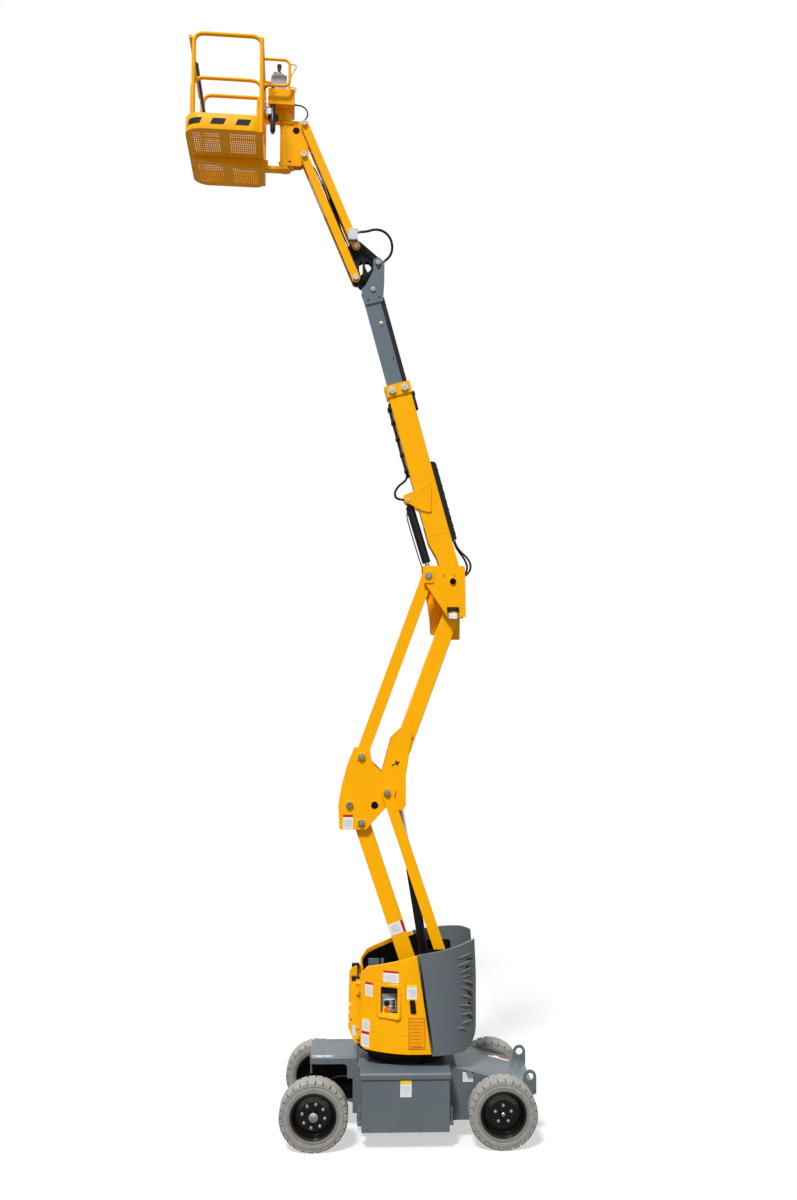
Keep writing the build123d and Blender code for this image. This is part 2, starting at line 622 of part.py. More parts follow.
battery_boxes = {}
battery_lids = {}
for side_name, sign in (("left", 1), ("right", -1)):
    with BuildPart() as box:
        with BuildSketch(Plane.XY.offset(BOX_BOTTOM)):
            with Locations(((BOX_FRONT_X + BOX_REAR_X) / 2, sign * (BODY_HALF + BOX_OUTER_Y) / 2)):
                Rectangle(BOX_FRONT_X - BOX_REAR_X, BOX_OUTER_Y - BODY_HALF)
        extrude(amount=BOX_TOP - BOX_BOTTOM)
    box.part.label = f"battery_box_{side_name}"
    battery_boxes[side_name] = box
    with BuildPart() as lid:
        with BuildSketch(Plane.XY.offset(LID_TOP - LID_DEPTH)):
            with Locations(((BOX_FRONT_X + BOX_REAR_X) / 2,
                            sign * (BODY_HALF + BOX_OUTER_Y + LID_LIP + SEAT_GAP) / 2)):
                Rectangle(BOX_FRONT_X - BOX_REAR_X + 2 * (LID_LIP + SEAT_GAP),
                          BOX_OUTER_Y + LID_LIP - BODY_HALF - SEAT_GAP)
        extrude(amount=LID_DEPTH)
        outer_edges = lid.edges().filter_by(Axis.X).group_by(Axis.Z)[-1].sort_by(Axis.Y)
        fillet(outer_edges[-1 if sign > 0 else 0], 22)
        with BuildSketch(Plane.XY.offset(LID_TOP - LID_DEPTH)):
            with Locations(((BOX_FRONT_X + BOX_REAR_X) / 2, sign * (BODY_HALF + BOX_OUTER_Y) / 2)):
                Rectangle(BOX_FRONT_X - BOX_REAR_X + 2 * SEAT_GAP, BOX_OUTER_Y - BODY_HALF + 2 * SEAT_GAP)
        extrude(amount=BOX_TOP - LID_TOP + LID_DEPTH, mode=Mode.SUBTRACT)
    lid.part.label = f"battery_lid_{side_name}"
    battery_lids[side_name] = lid

# ================================================================ turret
with BuildPart() as turret_frame:
    with BuildSketch(Plane.XY.offset(TURRET_FLOOR)):
        Circle(FLOOR_RADIUS)
    extrude(amount=FLOOR_THICK)
    with BuildSketch(Plane.XY.offset(RING_TOP + SEAT_GAP)):
        Circle(RING_RADIUS - 20)
    extrude(amount=TURRET_FLOOR - RING_TOP - SEAT_GAP)
    for outer in (CHEEK_Y + CHEEK, -CHEEK_Y):
        plate(outline(ARM_FOOT, CHEEK_OUTLINE), outer, CHEEK, corner=30)
    for joint, inner in ((ARM_FOOT, ARM_HALF - ARM_WEB), (strut_foot, STRUT_INNER)):
        stub(joint, CHEEK_Y + CHEEK, inner)
    pin(riser_base, CHEEK_Y + CHEEK)
    for joint, inner in ((ARM_FOOT, ARM_HALF + 4), (strut_foot, STRUT_INNER + STRUT_BAR + 4),
                         (riser_base, 46)):
        for outer in (CHEEK_Y, -inner):
            disc(joint, 34, outer, outer - (CHEEK_Y - inner))
    # the cheeks' foot plates
    with BuildSketch(Plane.XY.offset(TURRET_FLOOR + FLOOR_THICK - 4)):
        with Locations((0, CHEEK_Y + CHEEK + 16), (0, -CHEEK_Y - CHEEK - 16)):
            Rectangle(560, 40)
    extrude(amount=16)
turret_frame.part.label = "turret_frame"

covers = {}
for side_name, sign in (("left", 1), ("right", -1)):
    with BuildPart() as cover:
        # wall: straight beside the arms, then rounding in to the nose
        with BuildSketch(Plane.XY.offset(SHELL_BOTTOM)):
            with BuildLine():
                outer_arc = ThreePointArc((COVER_FRONT_X, sign * COVER_FRONT_Y),
                                          (COVER_MIDDLE[0], sign * COVER_MIDDLE[1]),
                                          (0, sign * FLANK_Y))
                Line((0, sign * FLANK_Y), (SEAM_BOTTOM_X, sign * FLANK_Y))
                Line((SEAM_BOTTOM_X, sign * FLANK_Y), (SEAM_BOTTOM_X, sign * (FLANK_Y - SHELL)))
                Line((SEAM_BOTTOM_X, sign * (FLANK_Y - SHELL)), (-4, sign * (FLANK_Y - SHELL)))
                ThreePointArc((-4, sign * (FLANK_Y - SHELL)),
                              (COVER_MIDDLE[0] - 11, sign * (COVER_MIDDLE[1] - 19)),
                              (COVER_FRONT_X - 16, sign * (COVER_FRONT_Y - 14)))
                Line((COVER_FRONT_X - 16, sign * (COVER_FRONT_Y - 14)),
                     (COVER_FRONT_X, sign * COVER_FRONT_Y))
            make_face()
        extrude(amount=COVER_REAR_TOP - SHELL_BOTTOM)
        # sloping top, round at the front, and the seam that leans forward
        with BuildSketch(side(sign * FLANK_Y + 260)):
            with BuildLine():
                Polyline((COVER_FRONT_X + 60, COVER_FRONT_TOP - 120), (COVER_FRONT_X, COVER_FRONT_TOP - 60),
                         (COVER_FRONT_X - 60, COVER_FRONT_TOP + 18), (SEAM_TOP_X, COVER_REAR_TOP),
                         (SEAM_TOP_X, COVER_REAR_TOP + 60), (COVER_FRONT_X + 60, COVER_REAR_TOP + 60),
                         close=True)
            make_face()
            Polygon((SEAM_TOP_X, COVER_REAR_TOP + 60), (SEAM_TOP_X, COVER_REAR_TOP),
                    (SEAM_BOTTOM_X, SHELL_BOTTOM), (SEAM_BOTTOM_X, SHELL_BOTTOM - 60),
                    (-400, SHELL_BOTTOM - 60), (-400, COVER_REAR_TOP + 60), align=None)
            # lower front corner, cut back
            Polygon((COVER_FRONT_X + 20, SHELL_BOTTOM - 20), (COVER_FRONT_X + 20, SHELL_BOTTOM + 40),
                    (COVER_FRONT_X - 60, SHELL_BOTTOM - 20), align=None)
        extrude(amount=520, mode=Mode.SUBTRACT)
        if sign > 0:
            # opening for the ground controls, its sides flared
            with BuildSketch(side(FLANK_Y + 60)):
                with Locations(PANEL_CENTRE):
                    RectangleRounded(PANEL_WIDTH, PANEL_HEIGHT, 10)
            extrude(amount=300, mode=Mode.SUBTRACT)
        # hinge barrels at the front edge
        for level in HINGE_LEVELS:
            with BuildSketch(Plane.XY.offset(level)):
                with Locations((HINGE_X, sign * HINGE_Y)):
                    Circle(HINGE_OUTER)
                with Locations((HINGE_X - 14, sign * (HINGE_Y + 2))):
                    Rectangle(26, 12)
                with Locations((HINGE_X, sign * HINGE_Y)):
                    Circle(HINGE_PIN + PIN_GAP, mode=Mode.SUBTRACT)
            extrude(amount=HINGE_LENGTH)
    cover.part.label = f"cover_{side_name}"
    covers[side_name] = cover

with BuildPart() as control_panel:
    with BuildSketch(side(PANEL_Y)):
        with Locations(PANEL_CENTRE):
            Rectangle(PANEL_WIDTH + 8, PANEL_HEIGHT + 8)
    extrude(amount=26)
    with BuildSketch(side(PANEL_Y - 26)):
        with Locations(PANEL_CENTRE):
            Rectangle(60, 120)
    extrude(amount=PANEL_Y - 26 - CHEEK_Y - CHEEK)
control_panel.part.label = "control_panel"

with BuildPart() as nose:
    with BuildSketch(Plane.XY.offset(SHELL_BOTTOM + 30)):
        with BuildLine():
            Polyline((COVER_FRONT_X + 30, -COVER_FRONT_Y + 34), (COVER_FRONT_X + 30, COVER_FRONT_Y - 34),
                     (NOSE_FRONT_X - 46, COVER_FRONT_Y - 44))
            ThreePointArc((NOSE_FRONT_X - 46, COVER_FRONT_Y - 44), (NOSE_FRONT_X - 12, COVER_FRONT_Y - 66),
                          (NOSE_FRONT_X, COVER_FRONT_Y - 110))
            Line((NOSE_FRONT_X, COVER_FRONT_Y - 110), (NOSE_FRONT_X, -COVER_FRONT_Y + 110))
            ThreePointArc((NOSE_FRONT_X, -COVER_FRONT_Y + 110), (NOSE_FRONT_X - 12, -COVER_FRONT_Y + 66),
                          (NOSE_FRONT_X - 46, -COVER_FRONT_Y + 44))
            Line((NOSE_FRONT_X - 46, -COVER_FRONT_Y + 44), (COVER_FRONT_X + 30, -COVER_FRONT_Y + 34))
        make_face()
    extrude(amount=NOSE_TOP - SHELL_BOTTOM - 30)
    # rounded brow and cut-back foot
    with BuildSketch(side(COVER_FRONT_Y)):
        with BuildLine():
            Line((NOSE_FRONT_X + 10, NOSE_TOP + 10), (COVER_FRONT_X + 30, NOSE_TOP + 10))
            Line((COVER_FRONT_X + 30, NOSE_TOP + 10), (COVER_FRONT_X + 30, NOSE_TOP))
            ThreePointArc((COVER_FRONT_X + 30, NOSE_TOP), (NOSE_FRONT_X - 18, NOSE_TOP - 32),
                          (NOSE_FRONT_X, NOSE_TOP - 110))
            Line((NOSE_FRONT_X, NOSE_TOP - 110), (NOSE_FRONT_X + 10, NOSE_TOP - 110))
            Line((NOSE_FRONT_X + 10, NOSE_TOP - 110), (NOSE_FRONT_X + 10, NOSE_TOP + 10))
        make_face()
        Polygon((NOSE_FRONT_X + 10, SHELL_BOTTOM + 10), (NOSE_FRONT_X + 10, SHELL_BOTTOM + 150),
                (NOSE_FRONT_X, SHELL_BOTTOM + 150), (NOSE_FRONT_X - 60, SHELL_BOTTOM + 30),
                (NOSE_FRONT_X - 60, SHELL_BOTTOM + 10), align=None)
    extrude(amount=2 * COVER_FRONT_Y, mode=Mode.SUBTRACT)
    # stacked grip ribs across the front
    for rib in range(NOSE_RIBS):
        with BuildSketch(side(COVER_FRONT_Y)):
            with BuildLine():
                foot = NOSE_RIB_BOTTOM + rib * NOSE_RIB_PITCH
                Line((NOSE_FRONT_X + 10, foot), (NOSE_FRONT_X - NOSE_RIB_DEPTH, foot + 12))
                Line((NOSE_FRONT_X - NOSE_RIB_DEPTH, foot + 12), (NOSE_FRONT_X - NOSE_RIB_DEPTH, foot + 36))
                ThreePointArc((NOSE_FRONT_X - NOSE_RIB_DEPTH, foot + 36), (NOSE_FRONT_X - 6, foot + 44),
                              (NOSE_FRONT_X + 10, foot + 50))
                Line((NOSE_FRONT_X + 10, foot + 50), (NOSE_FRONT_X + 10, foot))
            make_face()
        extrude(amount=2 * COVER_FRONT_Y, mode=Mode.SUBTRACT)
    with BuildSketch(side(NOSE_SLOT_HALF)):
        Polygon((COVER_FRONT_X - 60, NOSE_SLOT_Z), (NOSE_FRONT_X + 40, NOSE_SLOT_Z),
                (NOSE_FRONT_X + 40, NOSE_TOP + 10), (COVER_FRONT_X - 60, NOSE_TOP + 10), align=None)
    extrude(amount=2 * NOSE_SLOT_HALF, mode=Mode.SUBTRACT)
    # foot on the turret's floor
    with BuildSketch(Plane.XY.offset(TURRET_FLOOR + FLOOR_THICK)):
        with Locations((COVER_FRONT_X + 22, 0)):
            Rectangle(16, 200)
    extrude(amount=SHELL_BOTTOM + 60 - TURRET_FLOOR - FLOOR_THICK)
    with BuildSketch(Plane.XY.offset(SHELL_BOTTOM + 31)):
        with Locations((COVER_FRONT_X + 30, 0)):
            Rectangle(32, 200)
    extrude(amount=29)
    # hinge pins of the side covers, on brackets above and below each barrel
    for sign in (1, -1):
        for level in HINGE_LEVELS:
            with BuildSketch(Plane.XY.offset(level - 20)):
                with Locations((HINGE_X, sign * HINGE_Y)):
                    Circle(HINGE_PIN)
            extrude(amount=HINGE_LENGTH + 40)
            for bracket in (level - 20, level + HINGE_LENGTH + 8):
                with BuildSketch(Plane.XY.offset(bracket)):
                    with Locations((HINGE_X, sign * HINGE_Y)):
                        Circle(HINGE_OUTER)
                    with Locations((HINGE_X + 12, sign * (HINGE_Y - 12))):
                        Rectangle(24, 30)
                extrude(amount=12)
nose.part.label = "turret_nose"

with BuildPart() as counterweight:
    # body: round plan, trimmed to the round side outline
    with BuildSketch(Plane.XY.offset(SHELL_BOTTOM - 14)):
        with BuildLine():
            Line((SEAM_TOP_X, -FLANK_Y), (SEAM_TOP_X, FLANK_Y))
            Line((SEAM_TOP_X, FLANK_Y), (SEAM_BOTTOM_X, FLANK_Y))
            ThreePointArc((SEAM_BOTTOM_X, FLANK_Y), TAIL_ROUND, (TAIL_X, TAIL_HALF))
            Line((TAIL_X, TAIL_HALF), (TAIL_X, -TAIL_HALF))
            ThreePointArc((TAIL_X, -TAIL_HALF), (TAIL_ROUND[0], -TAIL_ROUND[1]), (SEAM_BOTTOM_X, -FLANK_Y))
            Line((SEAM_BOTTOM_X, -FLANK_Y), (SEAM_TOP_X, -FLANK_Y))
        make_face()
    extrude(amount=TAIL_TOP - SHELL_BOTTOM + 14)
    with BuildSketch(side(FLANK_Y + 10)):
        with BuildLine():
            Polyline((SEAM_TOP_X + 20, SHELL_BOTTOM - 14), (TAIL_X + 170, SHELL_BOTTOM - 14))
            ThreePointArc((TAIL_X + 170, SHELL_BOTTOM - 14), (TAIL_X + 44, SHELL_BOTTOM + 44),
                          (TAIL_X, SHELL_BOTTOM + 190))
            Polyline((TAIL_X, SHELL_BOTTOM + 190), (TAIL_X, SHELL_BOTTOM + 560), (TAIL_X + 26, TAIL_TOP + 20),
                     (SEAM_TOP_X + 20, TAIL_TOP + 20), (SEAM_TOP_X + 20, SHELL_BOTTOM - 14))
        make_face()
    extrude(amount=2 * (FLANK_Y + 10), mode=Mode.INTERSECT)
    # open top, with the casting's wall all round
    with BuildSketch(Plane.XY.offset(SHELL_BOTTOM + 300)):
        with BuildLine():
            Line((SEAM_TOP_X + 10, -FLANK_Y + SHELL), (SEAM_TOP_X + 10, FLANK_Y - SHELL))
            Line((SEAM_TOP_X + 10, FLANK_Y - SHELL), (SEAM_BOTTOM_X, FLANK_Y - SHELL))
            ThreePointArc((SEAM_BOTTOM_X, FLANK_Y - SHELL),
                          (TAIL_ROUND[0] + 0.7 * SHELL, TAIL_ROUND[1] - 0.7 * SHELL),
                          (TAIL_X + TAIL_WALL, TAIL_HALF - 8))
            Line((TAIL_X + TAIL_WALL, TAIL_HALF - 8), (TAIL_X + TAIL_WALL, -TAIL_HALF + 8))
            ThreePointArc((TAIL_X + TAIL_WALL, -TAIL_HALF + 8),
                          (TAIL_ROUND[0] + 0.7 * SHELL, -TAIL_ROUND[1] + 0.7 * SHELL),
                          (SEAM_BOTTOM_X, -FLANK_Y + SHELL))
            Line((SEAM_BOTTOM_X, -FLANK_Y + SHELL), (SEAM_TOP_X + 10, -FLANK_Y + SHELL))
        make_face()
    extrude(amount=TAIL_TOP, mode=Mode.SUBTRACT)
    # room for the turret's frame in the cast base
    with BuildSketch(Plane.XY.offset(SHELL_BOTTOM - 20)):
        with Locations((-200, 0)):
            Rectangle(2 * 260, 2 * (CHEEK_Y + CHEEK + 46 + SEAT_GAP))
    extrude(amount=400, mode=Mode.SUBTRACT)
    # rim that falls towards the seam, and the seam itself
    with BuildSketch(side(FLANK_Y + 40)):
        Polygon((SEAM_TOP_X + 30, TAIL_TOP + 60), (SEAM_TOP_X - 5, COVER_REAR_TOP + 5),
                (RIM_REAR_X, TAIL_TOP), (TAIL_X - 60, TAIL_TOP), (TAIL_X - 60, TAIL_TOP + 60), align=None)
        Polygon((SEAM_TOP_X - 5, COVER_REAR_TOP + 60), (SEAM_TOP_X - 5, COVER_REAR_TOP),
                (SEAM_BOTTOM_X - 5, SHELL_BOTTOM), (SEAM_BOTTOM_X - 5, SHELL_BOTTOM - 60),
                (100, SHELL_BOTTOM - 60), (100, COVER_REAR_TOP + 60), align=None)
    extrude(amount=2 * (FLANK_Y + 40), mode=Mode.SUBTRACT)
    # cooling louvres cast into the tail's corners, cut in from each side
    for sign in (1, -1):
        for level, lean in LOUVRES:
            with BuildSketch(side(sign * LOUVRE_FLOOR)):
                with Locations((TAIL_X + LOUVRE_REACH, level)):
                    SlotOverall(LOUVRE_LENGTH, LOUVRE_WIDTH, rotation=lean)
            extrude(amount=-sign * FLANK_Y, mode=Mode.SUBTRACT)
counterweight.part.label = "counterweight"

# ================================================================ riser
with BuildPart() as lower_arm:
    for outer in (ARM_HALF, -ARM_HALF + ARM_WEB):
        bar(ARM_FOOT, ARM_ANGLE, ARM_LENGTH, ARM_DEPTH, outer, ARM_WEB)
    disc(arm_top, 46, ARM_HALF, -ARM_HALF)
    for joint in (ARM_FOOT, arm_top):
        bore(joint)
    # cross tube clear of the riser cylinder
    disc(along(ARM_FOOT, ARM_ANGLE, ARM_LENGTH - ARM_TIE), TIE_TUBE, ARM_HALF - 2, -ARM_HALF + 2)
lower_arm.part.label = "lower_arm"

with BuildPart() as lower_strut:
    for outer in (STRUT_INNER + STRUT_BAR, -STRUT_INNER):
        bar(strut_foot, ARM_ANGLE, ARM_LENGTH, STRUT_DEPTH, outer, STRUT_BAR)
    for joint in (strut_foot, strut_top):
        bore(joint)
    disc(along(strut_foot, ARM_ANGLE, STRUT_TIE), TIE_TUBE, STRUT_INNER + 2, -STRUT_INNER - 2)
lower_strut.part.label = "lower_strut"

with BuildPart() as mid_knuckle:
    for outer in (KNUCKLE_Y + PLATE, -KNUCKLE_Y):
        plate(outline(arm_top, SHIELD), outer, PLATE, corner=18)
    bore(shifted(arm_top, SHIELD_HOLE), 36)
    for joint in (arm_top, tie_foot, shifted(arm_top, SHIELD_PIN)):
        pin(joint, KNUCKLE_Y + PLATE)
    for outer in (KNUCKLE_Y, -ARM_HALF - 2):
        disc(arm_top, 44, outer, outer - (KNUCKLE_Y - ARM_HALF - 2))
    for outer in (KNUCKLE_Y, -TIE_INNER - TIE_BAR - 1):
        disc(tie_foot, 44, outer, outer - (KNUCKLE_Y - TIE_INNER - TIE_BAR - 1))
    pin(strut_top, STRUT_INNER + STRUT_BAR + 2)
mid_knuckle.part.label = "mid_knuckle"

with BuildPart() as upper_arm:
    tube(strut_top, UPPER_ANGLE, UPPER_TUBE_START, UPPER_LENGTH - 40, UPPER_HALF, UPPER_DEPTH, 8)
    for outer in (UPPER_CHEEK_Y + PLATE, -UPPER_CHEEK_Y):
        plate(outline(strut_top, UPPER_CHEEK), outer, PLATE, corner=14)
    # collar that joins the cheeks to the tube
    with BuildSketch(arm_section(strut_top, UPPER_ANGLE, UPPER_TUBE_START + 15)):
        Rectangle(2 * UPPER_CHEEK_Y, UPPER_DEPTH)
        Rectangle(2 * UPPER_HALF - 4, UPPER_DEPTH + 4, mode=Mode.SUBTRACT)
    extrude(amount=180)
    disc(strut_top, 44, UPPER_CHEEK_Y, -UPPER_CHEEK_Y)
    bar(strut_top, UPPER_ANGLE, UPPER_LENGTH, 130, UPPER_HALF, 14)
    bar(strut_top, UPPER_ANGLE, UPPER_LENGTH, 130, -UPPER_HALF + 14, 14)
    disc(upper_top, 50, UPPER_HALF, -UPPER_HALF)
    for outer in (UPPER_CHEEK_Y, -30 - SEAT_GAP):
        disc(riser_eye, 26, outer, outer - (UPPER_CHEEK_Y - 30 - SEAT_GAP))
    bore(strut_top)
    bore(upper_top)
upper_arm.part.label = "upper_arm"

with BuildPart() as upper_tie:
    for outer in (TIE_INNER + TIE_BAR, -TIE_INNER):
        bar(tie_foot, UPPER_ANGLE, UPPER_LENGTH, TIE_DEPTH, outer, TIE_BAR)
    for joint in (tie_foot, tie_top):
        bore(joint)
    # cross tube that ties the two bars
    disc(along(tie_foot, UPPER_ANGLE, UPPER_TIE), TIE_TUBE, TIE_INNER + 2, -TIE_INNER - 2)
upper_tie.part.label = "upper_tie"

with BuildPart() as top_knuckle:
    for outer in (KNUCKLE_Y + PLATE, -KNUCKLE_Y):
        plate(outline(upper_top, KNUCKLE_PLATE), outer, PLATE, corner=12)
    # the right plate also reaches down behind the upper arm
    plate(outline(upper_top, KNUCKLE_TAIL), -KNUCKLE_Y, PLATE, corner=12)
    for joint in (upper_top, boom_pivot):
        pin(joint, KNUCKLE_Y + PLATE, head=30)
    stub(tie_top, KNUCKLE_Y + PLATE, TIE_INNER - 1)
    for outer in (KNUCKLE_Y, -TIE_INNER - TIE_BAR - 1):
        disc(tie_top, 44, outer, outer - (KNUCKLE_Y - TIE_INNER - TIE_BAR - 1))
    for joint, inner, radius in ((upper_top, UPPER_HALF + 2, 44), (boom_pivot, BOOM_HALF + 2, 44),
                                 (boom_eye, 24 + SEAT_GAP, 34)):
        for outer in (KNUCKLE_Y, -inner):
            disc(joint, radius, outer, outer - (KNUCKLE_Y - inner))
    for route in root_routes.values():
        gland(route[-1], route[-2], ROOT_HOSE_RADIUS, 46)
top_knuckle.part.label = "top_knuckle"

# ================================================================ boom
with BuildPart() as boom_tube:
    tube(boom_pivot, BOOM_ANGLE, BOOM_TUBE_START, BOOM_END, BOOM_HALF, BOOM_DEPTH, BOOM_WALL, BOOM_UP)
    # open root: two side plates, so that the lift cylinder can lie between them
    for outer in (BOOM_HALF, -BOOM_HALF + ROOT_PLATE):
        plate(ROOT_OUTLINE, outer, ROOT_PLATE, corner=16, plane=arm_side(boom_pivot, BOOM_ANGLE, outer))
    disc(boom_pivot, 50, BOOM_HALF, -BOOM_HALF)
    bore(boom_pivot)
    # slot in the front wall for the lift cylinder with the boom raised
    with BuildSketch(arm_section(boom_pivot, BOOM_ANGLE, BOOM_TUBE_START - 20,
                                 BOOM_UP - BOOM_DEPTH / 2)):
        Rectangle(ROOT_SLOT_WIDTH, 4 * BOOM_WALL)
    extrude(amount=ROOT_SLOT, mode=Mode.SUBTRACT)
    # cylinder bracket on the front side
    for outer in (BOOM_HALF + 12, -BOOM_HALF):
        plate(BRACKET_OUTLINE, outer, 12, corner=18, plane=arm_side(boom_pivot, BOOM_ANGLE, outer))
    disc(boom_cylinder_top, CYLINDER_PIN["boom"], BOOM_HALF + 16, -BOOM_HALF - 16)
    for outer in (BOOM_HALF, -24 - SEAT_GAP):
        disc(boom_cylinder_top, 34, outer, outer - (BOOM_HALF - 24 - SEAT_GAP))
    # collar round the fly boom's mouth, chamfered at its lower edge
    with BuildSketch(arm_section(boom_pivot, BOOM_ANGLE, BOOM_END - COLLAR, BOOM_UP)):
        RectangleRounded(2 * (BOOM_HALF + 12), BOOM_DEPTH + 26, 14)
        Rectangle(2 * FLY_HALF + 2 * SEAT_GAP, FLY_DEPTH + 2 * SEAT_GAP, mode=Mode.SUBTRACT)
    extrude(amount=COLLAR)
    for across in (60, -60):
        centre = along(boom_pivot, BOOM_ANGLE, BOOM_END - COLLAR / 2, across + BOOM_UP)
        disc(centre, 26, BOOM_HALF + 26, BOOM_HALF + 10)
        disc(centre, 26, -BOOM_HALF - 10, -BOOM_HALF - 26)
boom_tube.part.label = "boom_tube"

with BuildPart() as cable_tray:
    tray_up = BOOM_DEPTH / 2 + BOOM_UP + TRAY_HEIGHT / 2 + SEAT_GAP
    with BuildSketch(arm_section(boom_pivot, BOOM_ANGLE, TRAY_START, tray_up)):
        Rectangle(TRAY_WIDTH, TRAY_HEIGHT)
    extrude(amount=TRAY_LENGTH)
    # the tray's outer edge rounds down at its upper end
    end_edge = cable_tray.faces().sort_by(Axis((0, 0, 0), (cos(radians(BOOM_ANGLE)), 0,
                                                           sin(radians(BOOM_ANGLE)))))[-1]
    fillet(end_edge.edges().sort_by(Axis.X)[0], TRAY_HEIGHT - 10)
    for route in root_routes.values():
        gland(route[0], route[1], ROOT_HOSE_RADIUS)
cable_tray.part.label = "cable_tray"

with BuildPart() as fly_boom:
    tube(boom_pivot, BOOM_ANGLE, FLY_START, FLY_END, FLY_HALF, FLY_DEPTH, FLY_WALL, BOOM_UP)
    for outer in (FLY_HALF + 12, -FLY_HALF):
        plate(FLY_CHEEK, outer, 12, corner=18, plane=arm_side(boom_pivot, BOOM_ANGLE, outer))
    pin(fly_pivot, FLY_HALF + 12, radius=FLY_PIN, head=28)
fly_boom.part.label = "fly_boom"

# ================================================================ jib
with BuildPart() as levelling_bracket:
    for outer in (JIB_INNER, -JIB_INNER + 12):
        plate(outline(fly_pivot, BRACKET_PLATE), outer, 12, corner=16)
    disc(fly_pivot, 34, JIB_INNER, -JIB_INNER)
    bore(fly_pivot, FLY_PIN + PIN_GAP)
    disc(slave_pin, 24, JIB_INNER, -JIB_INNER)
    for joint in (jib_foot, jib_foot_upper):
        pin(joint, JIB_INNER + 12 + JIB_BAR + 1, radius=JIB_PIN, head=26)
        for outer in (JIB_INNER + 11, -JIB_INNER):
            disc(joint, 32, outer, outer - 11)
    for outer in (JIB_INNER, -24 - SEAT_GAP):
        disc(jib_base, 26, outer, outer - (JIB_INNER - 24 - SEAT_GAP))
    disc(jib_base, CYLINDER_PIN["jib"], JIB_INNER, -JIB_INNER)
    gland(jib_route[-1], jib_route[-2], JIB_HOSE_RADIUS)
levelling_bracket.part.label = "levelling_bracket"

with BuildPart() as junction_box:
    # box on the upper jib pin's head, with a lid that stands proud
    box_back = JIB_INNER + 12 + JIB_BAR + 1 + HEAD_THICK + SEAT_GAP
    box_middle = shifted(jib_foot_upper, JUNCTION_SHIFT)
    with BuildSketch(side(box_back + JUNCTION_DEPTH)):
        with Locations(box_middle):
            RectangleRounded(JUNCTION_LENGTH, JUNCTION_HEIGHT, 6)
    extrude(amount=JUNCTION_DEPTH)
    with BuildSketch(side(box_back + JUNCTION_DEPTH + 4)):
        with Locations(box_middle):
            RectangleRounded(JUNCTION_LENGTH - 12, JUNCTION_HEIGHT - 12, 4)
    extrude(amount=5)
    gland(jib_route[0], jib_route[1], JIB_HOSE_RADIUS, 12)
junction_box.part.label = "junction_box"

jib_bars = {}
for bar_name, foot, head in (("lower", jib_foot, jib_head_lower), ("upper", jib_foot_upper, jib_head_upper)):
    web_side, web_start, web_end = JIB_WEBS[bar_name]
    with BuildPart() as jib_bar:
        for outer in (JIB_INNER + 12 + JIB_BAR, -JIB_INNER - 12):
            bar(foot, JIB_ANGLE, JIB_LENGTH, JIB_BAR_DEPTH, outer, JIB_BAR)
        # web along the outer edge that makes each pair of bars one channel
        with BuildSketch(arm_section(foot, JIB_ANGLE, web_start, web_side * (JIB_BAR_DEPTH - JIB_WEB) / 2)):
            Rectangle(2 * (JIB_INNER + 12) + 4, JIB_WEB)
        extrude(amount=web_end - web_start)
        for joint in (foot, head):
            bore(joint, JIB_PIN + PIN_GAP)
        if bar_name == "upper":
            inner_face = JIB_INNER + 12
            for outer in (inner_face, -24 - SEAT_GAP):
                disc(jib_eye, 22, outer, outer - (inner_face - 24 - SEAT_GAP))
    jib_bar.part.label = f"jib_bar_{bar_name}"
    jib_bars[bar_name] = jib_bar

with BuildPart() as jib_head:
    for outer in (JIB_INNER, -JIB_INNER + 12):
        plate(outline(jib_head_lower, HEAD_PLATE), outer, 12, corner=18)
    bore(shifted(jib_head_lower, HEAD_HOLE), 24)
    for joint in (jib_head_lower, jib_head_upper):
        pin(joint, JIB_INNER + 12 + JIB_BAR + 1, radius=JIB_PIN, head=26)
        for outer in (JIB_INNER + 11, -JIB_INNER):
            disc(joint, 32, outer, outer - 11)
    # housing of the platform's turning shaft, with a flange at each end
    housing_x = jib_head_lower[0] + HOUSING_SHIFT
    for foot, height, radius in ((turn_bottom, TURN_HEIGHT, TURN_RADIUS - 8),
                                 (turn_bottom, TURN_FLANGE, TURN_RADIUS),
                                 (turn_top - TURN_FLANGE, TURN_FLANGE, TURN_RADIUS)):
        with BuildSketch(Plane.XY.offset(foot)):
            with Locations((turn_x, 0)):
                Circle(radius)
            with Locations(((turn_x + housing_x) / 2, 0)):
                Rectangle(turn_x - housing_x, 2 * JIB_INNER if height == TURN_HEIGHT else 2 * radius)
            with Locations((turn_x, 0)):
                Circle(TURN_SHAFT + PIN_GAP, mode=Mode.SUBTRACT)
        extrude(amount=height)
    gland(console_route[-1], console_route[-2], CONSOLE_HOSE_RADIUS)
jib_head.part.label = "jib_head"

